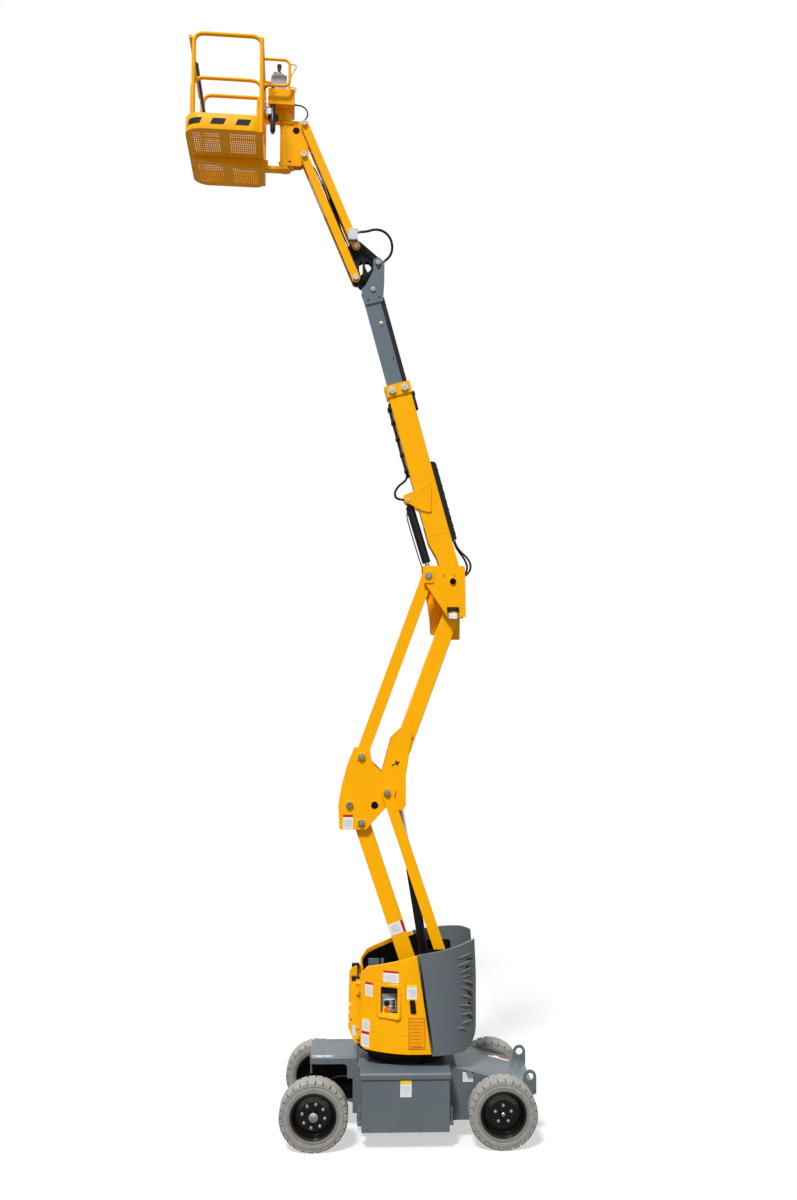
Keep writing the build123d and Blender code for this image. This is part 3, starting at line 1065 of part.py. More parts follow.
# ================================================================ cylinders
CYLINDERS = {
    # name: (barrel hinge, rod eye, barrel length, barrel radius, rod radius, eye half width)
    "riser": (riser_base, riser_eye, 1290.0, 42.0, 24.0, 30.0),
    "boom": (boom_cylinder_top, boom_eye, 610.0, 40.0, 21.0, 24.0),
    "jib": (jib_base, jib_eye, 740.0, 33.0, 18.0, 24.0),
}
cylinders = {}
for cylinder_name, (hinge, eye, barrel_length, barrel_radius, rod_radius, eye_half) in CYLINDERS.items():
    length = hypot(eye[0] - hinge[0], eye[1] - hinge[1])
    angle = degrees(atan2(eye[1] - hinge[1], eye[0] - hinge[0]))
    with BuildPart() as barrel:
        with BuildSketch(arm_section(hinge, angle, 56)):
            Circle(barrel_radius)
        extrude(amount=barrel_length - 56)
        with BuildSketch(arm_section(hinge, angle, 0)):
            Rectangle(2 * eye_half, 50)
        extrude(amount=60)
        disc(hinge, 34, eye_half, -eye_half)
        with BuildSketch(arm_section(hinge, angle, 76)):
            Circle(rod_radius + PIN_GAP)
        extrude(amount=barrel_length, mode=Mode.SUBTRACT)
        bore(hinge, CYLINDER_PIN[cylinder_name] + PIN_GAP)
    barrel.part.label = f"{cylinder_name}_cylinder_barrel"
    with BuildPart() as rod:
        with BuildSketch(arm_section(hinge, angle, length - barrel_length + 70)):
            Circle(rod_radius)
        extrude(amount=barrel_length - 70 - 20)
        disc(eye, 30, eye_half, -eye_half)
    rod.part.label = f"{cylinder_name}_cylinder_rod"
    cylinders[cylinder_name] = (barrel, rod)

# ================================================================ hoses
hoses = {}
for hose_name, route, hose_radius in (("jib_hose", jib_route, JIB_HOSE_RADIUS),
                                      ("root_hose_left", root_routes["left"], ROOT_HOSE_RADIUS),
                                      ("root_hose_right", root_routes["right"], ROOT_HOSE_RADIUS),
                                      ("console_hose", console_route, CONSOLE_HOSE_RADIUS)):
    bends = corner_radii(route)
    with BuildPart() as hose:
        with BuildLine() as path:
            FilletPolyline(*route, radius=bends)
        wire = path.wires()[0]
        with BuildSketch(Plane(origin=wire @ 0, z_dir=wire % 0)):
            Circle(hose_radius)
        sweep(path=wire)
    hose.part.label = hose_name
    hoses[hose_name] = hose
    print(hose_name, "length", round(wire.length), "bends", [round(bend) for bend in bends])

# ================================================================ platform
def rail(points, bend, radius=RAIL):
    """A bent round tube through 3D points."""
    with BuildLine() as path:
        if len(points) == 2:
            Line(*points)
        else:
            FilletPolyline(*points, radius=bend)
    wire = path.wires()[0]
    with BuildSketch(Plane(origin=wire @ 0, z_dir=wire % 0)) as section:
        Circle(radius)
    sweep(section.sketch, path=wire)


def floor_plan(inset=0.0):
    """The platform's plan: large round corners in front, small ones at the rear."""
    with BuildSketch(mode=Mode.PRIVATE) as plan:
        with Locations((basket_x, 0)):
            sheet = Rectangle(BASKET_LENGTH - 2 * inset, BASKET_WIDTH - 2 * inset)
        ends = sheet.vertices().group_by(Axis.X)
        fillet(ends[-1], FRONT_CORNER - inset)
        fillet(ends[0], REAR_CORNER - inset)
    return plan.sketch


floor_top = floor_bottom + FLOOR_SHEET
rear_x = basket_x - BASKET_LENGTH / 2
front_x = basket_x + BASKET_LENGTH / 2
rail_y = BASKET_WIDTH / 2 - RAIL - RAIL_INSET
post_rear = rear_x + POST_INSET
post_front = front_x - FRONT_POST_INSET
rail_top = floor_top + RAIL_HEIGHT - RAIL
rail_mid = floor_top + MID_HEIGHT
guard_top = rail_top - GUARD_DROP

with BuildPart() as basket_floor:
    extrude(floor_plan().moved(Location((0, 0, floor_bottom))), amount=TOE_HEIGHT)
    extrude(floor_plan(TOE_SHEET).moved(Location((0, 0, floor_top))), amount=TOE_HEIGHT, mode=Mode.SUBTRACT)
basket_floor.part.label = "basket_floor"

with BuildPart() as basket_rails:
    for sign in (1, -1):
        y = sign * rail_y
        rail([(post_rear, y, floor_top), (post_rear, y, rail_top), (post_front, y, rail_top),
              (post_front, y, floor_top)], TOP_BEND)
        # middle rail: both ends curve down to the floor
        rail([(post_rear + MID_INSET, y, floor_top), (post_rear + MID_INSET, y, rail_mid),
              (post_front - MID_INSET, y, rail_mid), (post_front - MID_INSET, y, floor_top)],
             MID_BEND, RAIL - 2)
        for post, inward in ((post_rear, 1), (post_front, -1)):
            rail([(post, y, rail_mid - MID_BEND), (post + inward * MID_INSET, y, rail_mid - MID_BEND)], 0, RAIL - 6)
    y = rail_y
    rail([(post_front, -y, rail_top - TOP_BEND - 10), (post_front, y, rail_top - TOP_BEND - 10)], 0, RAIL - 2)
    for level in (rail_mid, guard_top):
        rail([(post_rear, -y, level), (post_rear, y, level)], 0, RAIL - 3)
    # guard loops beside the controls, each on an upright between the rear rails
    for sign in (1, -1):
        y = sign * GUARD_Y
        rail([(post_rear, y, rail_mid), (post_rear, y, guard_top)], 0, RAIL - 6)
        rail([(post_rear, y, guard_top), (post_rear - GUARD_REACH, y, guard_top),
              (post_rear - GUARD_REACH, y, guard_top - GUARD_HEIGHT), (post_rear, y, guard_top - GUARD_HEIGHT)],
             GUARD_BEND, RAIL - 6)
basket_rails.part.label = "basket_rails"

with BuildPart() as gate_bar:
    y = rail_y - RAIL - SEAT_GAP
    rail([(post_front, -y, rail_mid), (post_front, y, rail_mid)], 0, RAIL - 2)
gate_bar.part.label = "gate_bar"

with BuildPart() as basket_support:
    # arm under the floor
    with BuildSketch(Plane.XY.offset(turn_bottom - SUPPORT_GAP - SUPPORT_ARM)):
        with Locations((turn_x, 0)):
            Circle(TURN_RADIUS)
        with Locations(((turn_x + rear_x + 20) / 2, 0)):
            Rectangle(rear_x + 20 - turn_x, SUPPORT_WIDTH)
    extrude(amount=SUPPORT_ARM)
    # tapering cross member below the floor
    plate([(rear_x - 40, floor_bottom), (front_x - 40, floor_bottom), (front_x - 40, floor_bottom - 24),
           (rear_x + 60, turn_bottom - SUPPORT_GAP - SUPPORT_ARM),
           (rear_x - 40, turn_bottom - SUPPORT_GAP - SUPPORT_ARM)], 35, 70)
    with BuildSketch(Plane.XY.offset(turn_bottom - SUPPORT_GAP - SUPPORT_ARM)):
        with Locations((turn_x, 0)):
            Circle(TURN_SHAFT)
    extrude(amount=turn_top - turn_bottom + SUPPORT_GAP + SUPPORT_ARM + 40)
    # upper arm with the box beam under the controls
    with BuildSketch(Plane.XY.offset(turn_top + SUPPORT_GAP)):
        with Locations((turn_x, 0)):
            Circle(TURN_RADIUS)
        with Locations(((turn_x + post_rear) / 2, 0)):
            Rectangle(post_rear - turn_x, SUPPORT_WIDTH)
    extrude(amount=UPPER_SUPPORT)
    with BuildSketch(Plane.XY.offset(turn_top + SUPPORT_GAP + UPPER_SUPPORT)):
        with Locations((turn_x + (BEAM_FRONT - BEAM_REAR) / 2, 0)):
            RectangleRounded(BEAM_FRONT + BEAM_REAR, BEAM_WIDTH, 12)
    extrude(amount=BEAM_HEIGHT)
    beam_gland = Vector(*console_route[0])
    swing = radians(-PLATFORM_YAW)
    mouth = [turn_x + (beam_gland.X - turn_x) * cos(swing) - beam_gland.Y * sin(swing),
             (beam_gland.X - turn_x) * sin(swing) + beam_gland.Y * cos(swing), beam_gland.Z]
    mouth[0] += SEAT_GAP
    gland(mouth, (mouth[0] - 40, mouth[1], mouth[2]), CONSOLE_HOSE_RADIUS)
basket_support.part.label = "basket_support"

with BuildPart() as control_console:
    console_foot = turn_top + SUPPORT_GAP + UPPER_SUPPORT + BEAM_HEIGHT
    with BuildSketch(side(CONSOLE_WIDTH / 2)):
        with BuildLine():
            Polyline((turn_x + CONSOLE_REAR, console_foot), (turn_x + CONSOLE_FRONT, console_foot),
                     (turn_x + CONSOLE_FRONT, console_foot + CONSOLE_HEIGHT - 60))
            ThreePointArc((turn_x + CONSOLE_FRONT, console_foot + CONSOLE_HEIGHT - 60),
                          (turn_x + CONSOLE_FRONT - 30, console_foot + CONSOLE_HEIGHT - 12),
                          (turn_x + CONSOLE_FRONT - 84, console_foot + CONSOLE_HEIGHT))
            Polyline((turn_x + CONSOLE_FRONT - 84, console_foot + CONSOLE_HEIGHT),
                     (turn_x + CONSOLE_REAR, console_foot + CONSOLE_HEIGHT - 34),
                     (turn_x + CONSOLE_REAR, console_foot))
        make_face()
    extrude(amount=CONSOLE_WIDTH)
    # joystick and its gaiter
    stick_x = turn_x + (CONSOLE_REAR + CONSOLE_FRONT) / 2
    for foot, height, radius in ((CONSOLE_HEIGHT - 30, 50, 26), (CONSOLE_HEIGHT, 90, 10),
                                 (CONSOLE_HEIGHT + 60, 52, 18)):
        with BuildSketch(Plane.XY.offset(console_foot + foot)):
            with Locations((stick_x, 60)):
                Circle(radius)
        extrude(amount=height)
control_console.part.label = "control_console"

# ================================================================ export
PLATFORM_PIECES = (basket_floor, basket_rails, gate_bar, basket_support, control_console)
OTHER_PIECES = (
    chassis_frame, slew_ring, front_axle, rear_axle, *steering_knuckles.values(), *tyres.values(),
    *rims.values(), *battery_boxes.values(), *battery_lids.values(), turret_frame, *covers.values(),
    control_panel, nose, counterweight, lower_arm, lower_strut, mid_knuckle, upper_arm, upper_tie,
    top_knuckle, boom_tube, cable_tray, fly_boom, levelling_bracket, junction_box, *jib_bars.values(),
    jib_head, *(piece for pair in cylinders.values() for piece in pair), *hoses.values())

for piece in OTHER_PIECES:
    export_step(piece.part, f"parts/{piece.part.label}.step")

turning_axis = Axis((turn_x, 0, 0), (0, 0, 1))
for piece in PLATFORM_PIECES:
    turned = piece.part.rotate(turning_axis, PLATFORM_YAW)
    turned.label = piece.part.label
    export_step(turned, f"parts/{turned.label}.step")
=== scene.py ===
"""Articulating boom lift: finishes, fasteners, labels, tread and hoses over the CAD frame.

Metres, +X forward, +Y to the left, +Z up, ground at z = 0. Sizes of turned profiles, bolts, blocks,
ridges and labels, and distances along an arm, are in millimetres.
"""
import json
import math

import bmesh
import bpy
from mathutils import Matrix, Vector
from mathutils.bvhtree import BVHTree


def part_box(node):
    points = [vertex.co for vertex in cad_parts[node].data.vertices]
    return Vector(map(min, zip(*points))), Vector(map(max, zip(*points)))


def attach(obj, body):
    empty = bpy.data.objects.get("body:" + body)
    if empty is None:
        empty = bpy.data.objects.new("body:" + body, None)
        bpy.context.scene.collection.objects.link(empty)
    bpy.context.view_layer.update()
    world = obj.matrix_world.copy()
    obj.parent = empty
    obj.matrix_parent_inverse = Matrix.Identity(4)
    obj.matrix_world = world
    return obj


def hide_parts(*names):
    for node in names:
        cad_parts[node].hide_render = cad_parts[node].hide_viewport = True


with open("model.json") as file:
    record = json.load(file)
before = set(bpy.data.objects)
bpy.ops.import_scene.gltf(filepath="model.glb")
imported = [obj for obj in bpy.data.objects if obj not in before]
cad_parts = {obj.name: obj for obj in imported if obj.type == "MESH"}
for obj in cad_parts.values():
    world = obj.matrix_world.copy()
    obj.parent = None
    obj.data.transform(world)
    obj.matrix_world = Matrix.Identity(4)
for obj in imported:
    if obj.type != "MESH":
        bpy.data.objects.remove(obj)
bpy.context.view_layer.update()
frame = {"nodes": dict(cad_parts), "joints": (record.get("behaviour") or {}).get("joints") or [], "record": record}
MM = 0.001
LEFT = Vector((0, 1, 0))
UP = Vector((0, 0, 1))
FORWARD = Vector((1, 0, 0))
PIVOT = {joint["name"]: Vector(joint["pos_m"]) for joint in frame["joints"] if "pos_m" in joint}
SIDES = (("left", 1), ("right", -1))


# ---------------------------------------------------------------- materials
def linear(colour):
    """An sRGB hex colour as linear RGBA."""
    channels = [int(colour[place:place + 2], 16) / 255 for place in (1, 3, 5)]
    return [c / 12.92 if c <= 0.04045 else ((c + 0.055) / 1.055) ** 2.4 for c in channels] + [1.0]


def add(tree, kind, inputs=None, **settings):
    """Adds a node with its settings; an input is a value or the socket that feeds it."""
    made = tree.nodes.new(kind)
    for setting, value in settings.items():
        setattr(made, setting, value)
    for socket, value in (inputs or {}).items():
        if isinstance(value, bpy.types.NodeSocket):
            tree.links.new(value, made.inputs[socket])
        else:
            made.inputs[socket].default_value = value
    return made


def new_material(name):
    """An empty material, its tree and its object coordinates in metres."""
    made = bpy.data.materials.new(name)
    made.use_nodes = True
    made.node_tree.nodes.clear()
    place = add(made.node_tree, "ShaderNodeTexCoord").outputs["Object"]
    return made, made.node_tree, place


def noise(tree, place, size_mm, detail):
    """Mottling whose pattern repeats every size_mm."""
    return add(tree, "ShaderNodeTexNoise",
               {"Vector": place, "Scale": 1000.0 / size_mm, "Detail": detail}).outputs["Fac"]


def mix(tree, factor, first, second):
    """One colour over another."""
    return add(tree, "ShaderNodeMix", {"Factor": factor, "A": first, "B": second},
               data_type="RGBA").outputs["Result"]


def ramp(tree, factor, low, high):
    """A value stretched from low..high to 0..1."""
    return add(tree, "ShaderNodeMapRange", {"Value": factor, "From Min": low, "From Max": high}).outputs[0]


def spread(tree, factor, low, high):
    """A value stretched from 0..1 to low..high."""
    return add(tree, "ShaderNodeMapRange", {"Value": factor, "To Min": low, "To Max": high}).outputs[0]


def times(tree, first, second):
    """The product of two values."""
    return add(tree, "ShaderNodeMath", {0: first, 1: second}, operation="MULTIPLY").outputs[0]


def soft_edge(tree, radius_mm):
    """The normal of a surface whose edges are rounded off."""
    return add(tree, "ShaderNodeBevel", {"Radius": radius_mm * MM}, samples=4).outputs[0]


def relief(tree, edge, grain, strength, depth_mm):
    """A normal with a grain's relief on it."""
    return add(tree, "ShaderNodeBump", {"Height": grain, "Strength": strength, "Distance": depth_mm * MM,
                                        "Normal": edge}).outputs[0]


def finished(made, tree, inputs):
    """A material whose surface is one principled shader."""
    shader = add(tree, "ShaderNodeBsdfPrincipled", inputs)
    add(tree, "ShaderNodeOutputMaterial", {"Surface": shader.outputs[0]})
    return made


def powder_coat(name, colour, faded, roughness, edge_mm=3.0, dust_height=0.45, shine=0.3):
    """Powder-coated steel: an even colour with faint orange peel, soft edges and road dust low down."""
    made, tree, place = new_material(name)
    paint = mix(tree, ramp(tree, noise(tree, place, 420, 3.0), 0.35, 0.75), linear(colour), linear(faded))
    height = add(tree, "ShaderNodeSeparateXYZ", {"Vector": place}).outputs["Z"]
    speck = noise(tree, place, 26, 5.0)
    dusty = times(tree, ramp(tree, height, dust_height, 0.0), ramp(tree, speck, 0.35, 0.8))
    soil = mix(tree, times(tree, dusty, 0.2), paint, linear("#A39D90"))
    # orange peel is about 2 mm across; drawn at 9 mm so that it shows
    normal = relief(tree, soft_edge(tree, edge_mm), noise(tree, place, 9, 2.0), 0.05, 0.5)
    gloss = spread(tree, speck, roughness - 0.05, roughness + 0.08)
    return finished(made, tree, {"Base Color": soil, "Roughness": gloss, "Normal": normal, "IOR": 1.5,
                                 "Specular IOR Level": shine})


def bare_metal(name, colour, roughness, grain_mm, tarnish_share=0.25):
    """Plated or polished steel: bright, with a fine machined grain and a little tarnish."""
    made, tree, place = new_material(name)
    grain = noise(tree, place, grain_mm, 4.0)
    stain = times(tree, ramp(tree, grain, 0.45, 0.8), tarnish_share)
    return finished(made, tree, {"Base Color": mix(tree, stain, linear(colour), linear("#6E6A62")),
                                 "Roughness": spread(tree, grain, roughness * 0.7, roughness * 1.4),
                                 "Metallic": 1.0, "Normal": soft_edge(tree, 0.8)})


def moulded(name, colour, roughness, grain_mm=3.0, grain_height_mm=0.15, shine=0.3):
    """Moulded plastic or rubber: one colour through, with the mould's fine texture."""
    made, tree, place = new_material(name)
    grain = noise(tree, place, grain_mm, 3.0)
    brighter = [min(1.0, c * 1.25) for c in linear(colour)[:3]] + [1.0]
    shade = mix(tree, ramp(tree, grain, 0.3, 0.8), linear(colour), brighter)
    return finished(made, tree, {"Base Color": shade, "Roughness": roughness, "IOR": 1.46,
                                 "Normal": relief(tree, soft_edge(tree, 1.5), grain, 0.3, grain_height_mm),
                                 "Specular IOR Level": shine})


def tyre_rubber(name):
    """Non-marking grey rubber: chalky and matt, browned by dust towards the rim."""
    made, tree, place = new_material(name)
    chalk = ramp(tree, noise(tree, place, 60, 6.0), 0.35, 0.7)
    rubber = mix(tree, chalk, linear("#9C9B97"), linear("#898882"))

    def vector_node(operation, first, **second):
        inputs = {0: first, **({1: second["second"]} if second else {})}
        return add(tree, "ShaderNodeVectorMath", inputs, operation=operation)

    # distance from the hub, in the wheel's own plane
    hub = PIVOT["wheel_front_left"]
    around = vector_node("ABSOLUTE", place).outputs[0]
    centre = vector_node("SUBTRACT", around, second=(hub.x, 0.0, hub.z)).outputs[0]
    flat = vector_node("MULTIPLY", centre, second=(1.0, 0.0, 1.0)).outputs[0]
    radius = vector_node("LENGTH", flat).outputs["Value"]
    soiled = mix(tree, times(tree, ramp(tree, radius, 0.240, 0.205), 0.75), rubber, linear("#6A5F54"))
    worn = mix(tree, times(tree, ramp(tree, radius, 0.292, 0.3), 0.5), soiled, linear("#ABA89F"))
    normal = relief(tree, soft_edge(tree, 2.5), noise(tree, place, 5, 4.0), 0.35, 0.4)
    return finished(made, tree, {"Base Color": worn, "Roughness": 0.88, "Normal": normal, "IOR": 1.5})


boom_yellow = powder_coat("yellow_powder_coat", "#FFB500", "#FDAF00", 0.4, shine=0.12)
machine_grey = powder_coat("grey_powder_coat", "#636D73", "#5E686E", 0.34, shine=0.45)
fly_grey = powder_coat("blue_grey_powder_coat", "#65727C", "#616E78", 0.4)
axle_black = powder_coat("black_axle_paint", "#0D0E10", "#141516", 0.5, dust_height=0.5, shine=0.2)
# black paint of the turret frame and slew ring, also used as painted shade in holes and under the deck
frame_black_and_shade = powder_coat("black_frame_paint_and_painted_shade", "#060607", "#0A0A0B", 0.6, dust_height=0.1, shine=0.12)
cylinder_black = powder_coat("black_cylinder_enamel", "#0B0C0E", "#101113", 0.3, edge_mm=1.5, shine=0.3)
rim_black = powder_coat("black_rim_enamel", "#060607", "#0C0C0C", 0.2, edge_mm=2.0, dust_height=0.1,
                        shine=0.5)
cover_yellow = powder_coat("yellow_gel_coat", "#FFB400", "#FDAE00", 0.32, edge_mm=6.0, shine=0.2)
tyre_grey = tyre_rubber("non_marking_grey_rubber")
rod_chrome = bare_metal("hard_chromed_rod", "#B9BDC0", 0.14, 30)
zinc = bare_metal("zinc_plated_steel", "#C6C8C6", 0.34, 12)
dull_zinc = bare_metal("passivated_pin_steel", "#8D8B80", 0.42, 10)
box_steel = bare_metal("brushed_aluminium", "#B4B9BE", 0.38, 8, tarnish_share=0.1)
black_abs = moulded("black_moulded_abs", "#0C0D0E", 0.5)
# the darkest black: painted shade inside the covers and in holes
shade_black = moulded("black_painted_shade", "#050505", 0.9, grain_mm=6.0, shine=0.1)
hose_rubber = moulded("black_hydraulic_hose_rubber", "#0B0B0C", 0.5, grain_mm=4.0)
console_grey = moulded("light_grey_moulded_abs", "#A3A9B0", 0.42)
cap_white = moulded("white_nylon_cap", "#C9CAC8", 0.45)
stop_red = moulded("red_button_nylon", "#C5141B", 0.32)
button_orange = moulded("orange_button_nylon", "#EE5A0C", 0.32)
panel_grey = moulded("grey_panel_film", "#7F858B", 0.4)
lens_dark = moulded("smoked_display_lens", "#101214", 0.15, shine=0.5)
WHITE, RED, YELLOW, ORANGE, GREEN, INK, GREY = range(7)
VINYL = [moulded(name, colour, roughness, grain_mm=20, grain_height_mm=0.05) for name, colour, roughness in (
    ("white_label_vinyl", "#E2E3E4", 0.35), ("red_label_vinyl", "#C2141F", 0.35),
    ("yellow_label_vinyl", "#EBD21A", 0.35), ("orange_label_vinyl", "#F79A05", 0.35),
    ("green_label_vinyl", "#2E8F6A", 0.35), ("brown_black_printing_ink", "#5A3A08", 0.45),
    ("pale_grey_label_vinyl", "#CFD1D4", 0.4))]

SLOTS = {"yellow_paint": boom_yellow, "grey_paint": machine_grey, "black_paint": cylinder_black,
         "axle_steel": axle_black, "grey_rubber": tyre_grey, "rod_chrome": rod_chrome,
         "cover_plastic": cover_yellow, "black_plastic": black_abs, "box_metal": box_steel,
         "hose_rubber": hose_rubber}
OWN = {"fly_boom": fly_grey, "levelling_bracket": axle_black, "control_console": console_grey,
       "turret_frame": frame_black_and_shade, "slew_ring": frame_black_and_shade, "control_panel": black_abs}
OWN.update({f"rim_{end}_{side}": rim_black for end in ("front", "rear") for side, _ in SIDES})
finish_of = {part["node"]: part["material_slot"] for part in frame["record"]["subparts"]}
for node_name, node in frame["nodes"].items():
    for place_slot in node.material_slots:
        place_slot.material = OWN.get(node_name, SLOTS[finish_of[node_name]])


# ---------------------------------------------------------------- mesh makers
def placed(name, data):
    """An object in the scene."""
    made = bpy.data.objects.new(name, data)
    bpy.context.scene.collection.objects.link(made)
    return made


def baked(name, shape):
    """An object from a finished bmesh."""
    mesh = bpy.data.meshes.new(name)
    shape.to_mesh(mesh)
    shape.free()
    return placed(name, mesh)


def ridden(piece, body):
    """Puts a piece on its body."""
    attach(piece, body)
    return piece


def keep(shape, name, body, slot, *materials, smooth=35):
    """Turns a bmesh into a piece that rides on a body."""
    bmesh.ops.recalc_face_normals(shape, faces=shape.faces)
    piece = baked(name, shape)
    for material in materials:
        piece.data.materials.append(material)
    piece.data.shade_smooth()
    piece.data.set_sharp_from_angle(angle=math.radians(smooth))
    return ridden(piece, body)


def cut_away(piece, shape):
    """Cuts the bodies in a bmesh out of a piece."""
    bmesh.ops.recalc_face_normals(shape, faces=shape.faces)
    cutter = baked("cutter", shape)
    cut = piece.modifiers.new("openings", "BOOLEAN")
    cut.object, cut.operation, cut.solver = cutter, "DIFFERENCE", "EXACT"
    piece.data = bpy.data.meshes.new_from_object(
        piece.evaluated_get(bpy.context.evaluated_depsgraph_get()))
    piece.modifiers.remove(cut)
    bpy.data.objects.remove(cutter)


def both_sides(x, y, z):
    """A spot on each side, its way out, and the way across as it is seen from outside."""
    for _, sign in SIDES:
        yield Vector((x, sign * y, z)), LEFT * sign, FORWARD * -sign


def ring_skin(shape, rings, closed=False, material=0):
    """Quads between successive rings of vertices."""
    for one, two in zip(rings, rings[1:] + rings[:1] * closed):
        for step in range(len(one)):
            after = (step + 1) % len(one)
            shape.faces.new([one[step], one[after], two[after], two[step]]).material_index = material


def prism(shape, lower, upper, material=0):
    """A closed body between two outlines with as many points."""
    below, above = [[shape.verts.new(place) for place in outline] for outline in (lower, upper)]
    for cap in (below[::-1], above):
        shape.faces.new(cap).material_index = material
    ring_skin(shape, [below, above], material=material)


def turned(shape, centre, axis, profile, segments=24, material=0):
    """A turned body: profile is (radius, height along the axis) in mm from the foot up."""
    axis = axis.normalized()
    across = (UP.cross(axis) if abs(axis.z) < 0.9 else FORWARD.cross(axis)).normalized()
    beside = axis.cross(across)
    rings = []
    for radius, height in profile:
        foot = centre + axis * height * MM
        turns = [math.tau * step / segments for step in range(segments if radius else 1)]
        arms = [(across * math.cos(turn) + beside * math.sin(turn)) * radius * MM for turn in turns]
        rings.append([shape.verts.new(foot + arm) for arm in arms])
    for below, above in zip(rings, rings[1:]):
        for step in range(segments):
            after = (step + 1) % segments
            corners = [below[step % len(below)], below[after % len(below)],
                       above[after % len(above)], above[step % len(above)]]
            unique = list(dict.fromkeys(corners))
            if len(unique) > 2:
                shape.faces.new(unique).material_index = material


def disc(shape, centre, axis, radius, height, segments=24, material=0):
    """A flat round plate that stands on its centre."""
    turned(shape, centre, axis, [(0, 0), (radius, 0), (radius, height), (0, height)], segments, material)


def hex_bolt(shape, centre, axis, across_flats, height, washer=0):
    """A hexagon head, chamfered on top, on an optional washer."""
    foot = 2.4 if washer else 0
    if washer:
        disc(shape, centre, axis, washer, foot)
    corner = across_flats / math.sqrt(3)
    turned(shape, centre, axis, [(corner, foot), (corner, foot + height * 0.8),
                                 (corner * 0.86, foot + height), (0, foot + height)], segments=6)


def slab(shape, outline, origin, across, along, thick, material=0):
    """A plate: outline is (u, v) points on the plane at origin, thickened along across x along."""
    out = across.cross(along).normalized() * thick
    lower = [origin + across * u + along * v for u, v in outline]
    prism(shape, lower, [place + out for place in lower], material)


def rounded(width, height, radius, steps=4):
    """The outline of a rounded rectangle about its centre."""
    points = []
    for corner_x, corner_y, start in ((1, 1, 0), (-1, 1, 90), (-1, -1, 180), (1, -1, 270)):
        for step in range(steps + 1):
            turn = math.radians(start + 90 * step / steps)
            points.append((corner_x * (width / 2 - radius) + radius * math.cos(turn),
                           corner_y * (height / 2 - radius) + radius * math.sin(turn)))
    return points


def block(shape, centre, across, upward, width, height, thick, radius=2, material=0):
    """A block with rounded corners that stands thick out of the plane at its centre, in mm."""
    slab(shape, rounded(width * MM, height * MM, radius * MM), centre, across, upward, thick * MM, material)


def tube(name, body, material, points, radius, order=3):
    """A round rod or line of smooth bends through control points."""
    curve = bpy.data.curves.new(name, "CURVE")
    curve.dimensions = "3D"
    curve.bevel_depth = radius * MM
    curve.bevel_resolution = 4
    curve.resolution_u = 8
    curve.use_fill_caps = True
    spline = curve.splines.new("NURBS")
    spline.points.add(len(points) - 1)
    for point, place in zip(spline.points, points):
        point.co = (*place, 1.0)
    spline.order_u = order
    spline.use_endpoint_u = True
    curve.materials.append(material)
    return ridden(placed(name, curve), body)


def surface_of(name):
    """A ray target made of a CAD node at rest."""
    node = frame["nodes"][name]
    return BVHTree.FromPolygons([node.matrix_world @ vert.co for vert in node.data.vertices],
                                [tuple(face.vertices) for face in node.data.polygons])


def pressed(target, spot, inward, back, reach):
    """The place where a spot pressed inward meets a surface, or the spot itself."""
    return target.ray_cast(spot - inward * back, inward, reach)[0] or spot


LABEL_COLUMNS = 6
LABEL_THICK = 0.7


def label(shape, target, centre, across, upward, width, height, bands=((1.0, 0),), lift=0.9):
    """A thin label pressed on a surface: bands are (share of the height, material) from the top."""
    inward = upward.cross(across).normalized()
    width, height = width * MM, height * MM
    top = height / 2
    for share, material in bands:
        rows = max(1, round(share * 5))
        upper, lower = [], []
        for row in range(rows + 1):
            v = top - share * height * row / rows
            line = [pressed(target, centre + across * (width * column / LABEL_COLUMNS - width / 2)
                            + upward * v, inward, 0.2, 0.5) - inward * lift * MM
                    for column in range(LABEL_COLUMNS + 1)]
            upper.append([shape.verts.new(place) for place in line])
            lower.append([shape.verts.new(place + inward * LABEL_THICK * MM) for place in line])
        for row in range(rows):
            for column in range(LABEL_COLUMNS):
                for sheet in (upper, lower):
                    shape.faces.new([sheet[row][column], sheet[row + 1][column], sheet[row + 1][column + 1],
                                     sheet[row][column + 1]]).material_index = material
        rim = ([(0, column) for column in range(LABEL_COLUMNS)]
               + [(row, LABEL_COLUMNS) for row in range(rows)]
               + [(rows, LABEL_COLUMNS - column) for column in range(LABEL_COLUMNS)]
               + [(rows - row, 0) for row in range(rows)])
        ring_skin(shape, [[sheet[row][column] for row, column in rim] for sheet in (upper, lower)],
                  material=material)
        top -= share * height


def along(start, angle, distance, up=0.0, y=0.0):
    """The point at a distance in mm along an arm's line, up to its left and y to the machine's left."""
    c, s = math.cos(math.radians(angle)), math.sin(math.radians(angle))
    return Vector((start.x + (c * distance - s * up) * MM, y * MM, start.z + (s * distance + c * up) * MM))


def arc_through(first, middle, last, count):
    """Points of the arc through three plan points."""
    (ax, ay), (bx, by), (cx, cy) = first, middle, last
    d = 2 * (ax * (by - cy) + bx * (cy - ay) + cx * (ay - by))
    a2, b2, c2 = ax * ax + ay * ay, bx * bx + by * by, cx * cx + cy * cy
    centre = Vector(((a2 * (by - cy) + b2 * (cy - ay) + c2 * (ay - by)) / d,
                     (a2 * (cx - bx) + b2 * (ax - cx) + c2 * (bx - ax)) / d))
    start, end = Vector(first) - centre, Vector(last) - centre
    sweep = start.angle_signed(end)
    return [centre + Matrix.Rotation(-sweep * step / count, 2) @ start for step in range(count + 1)]


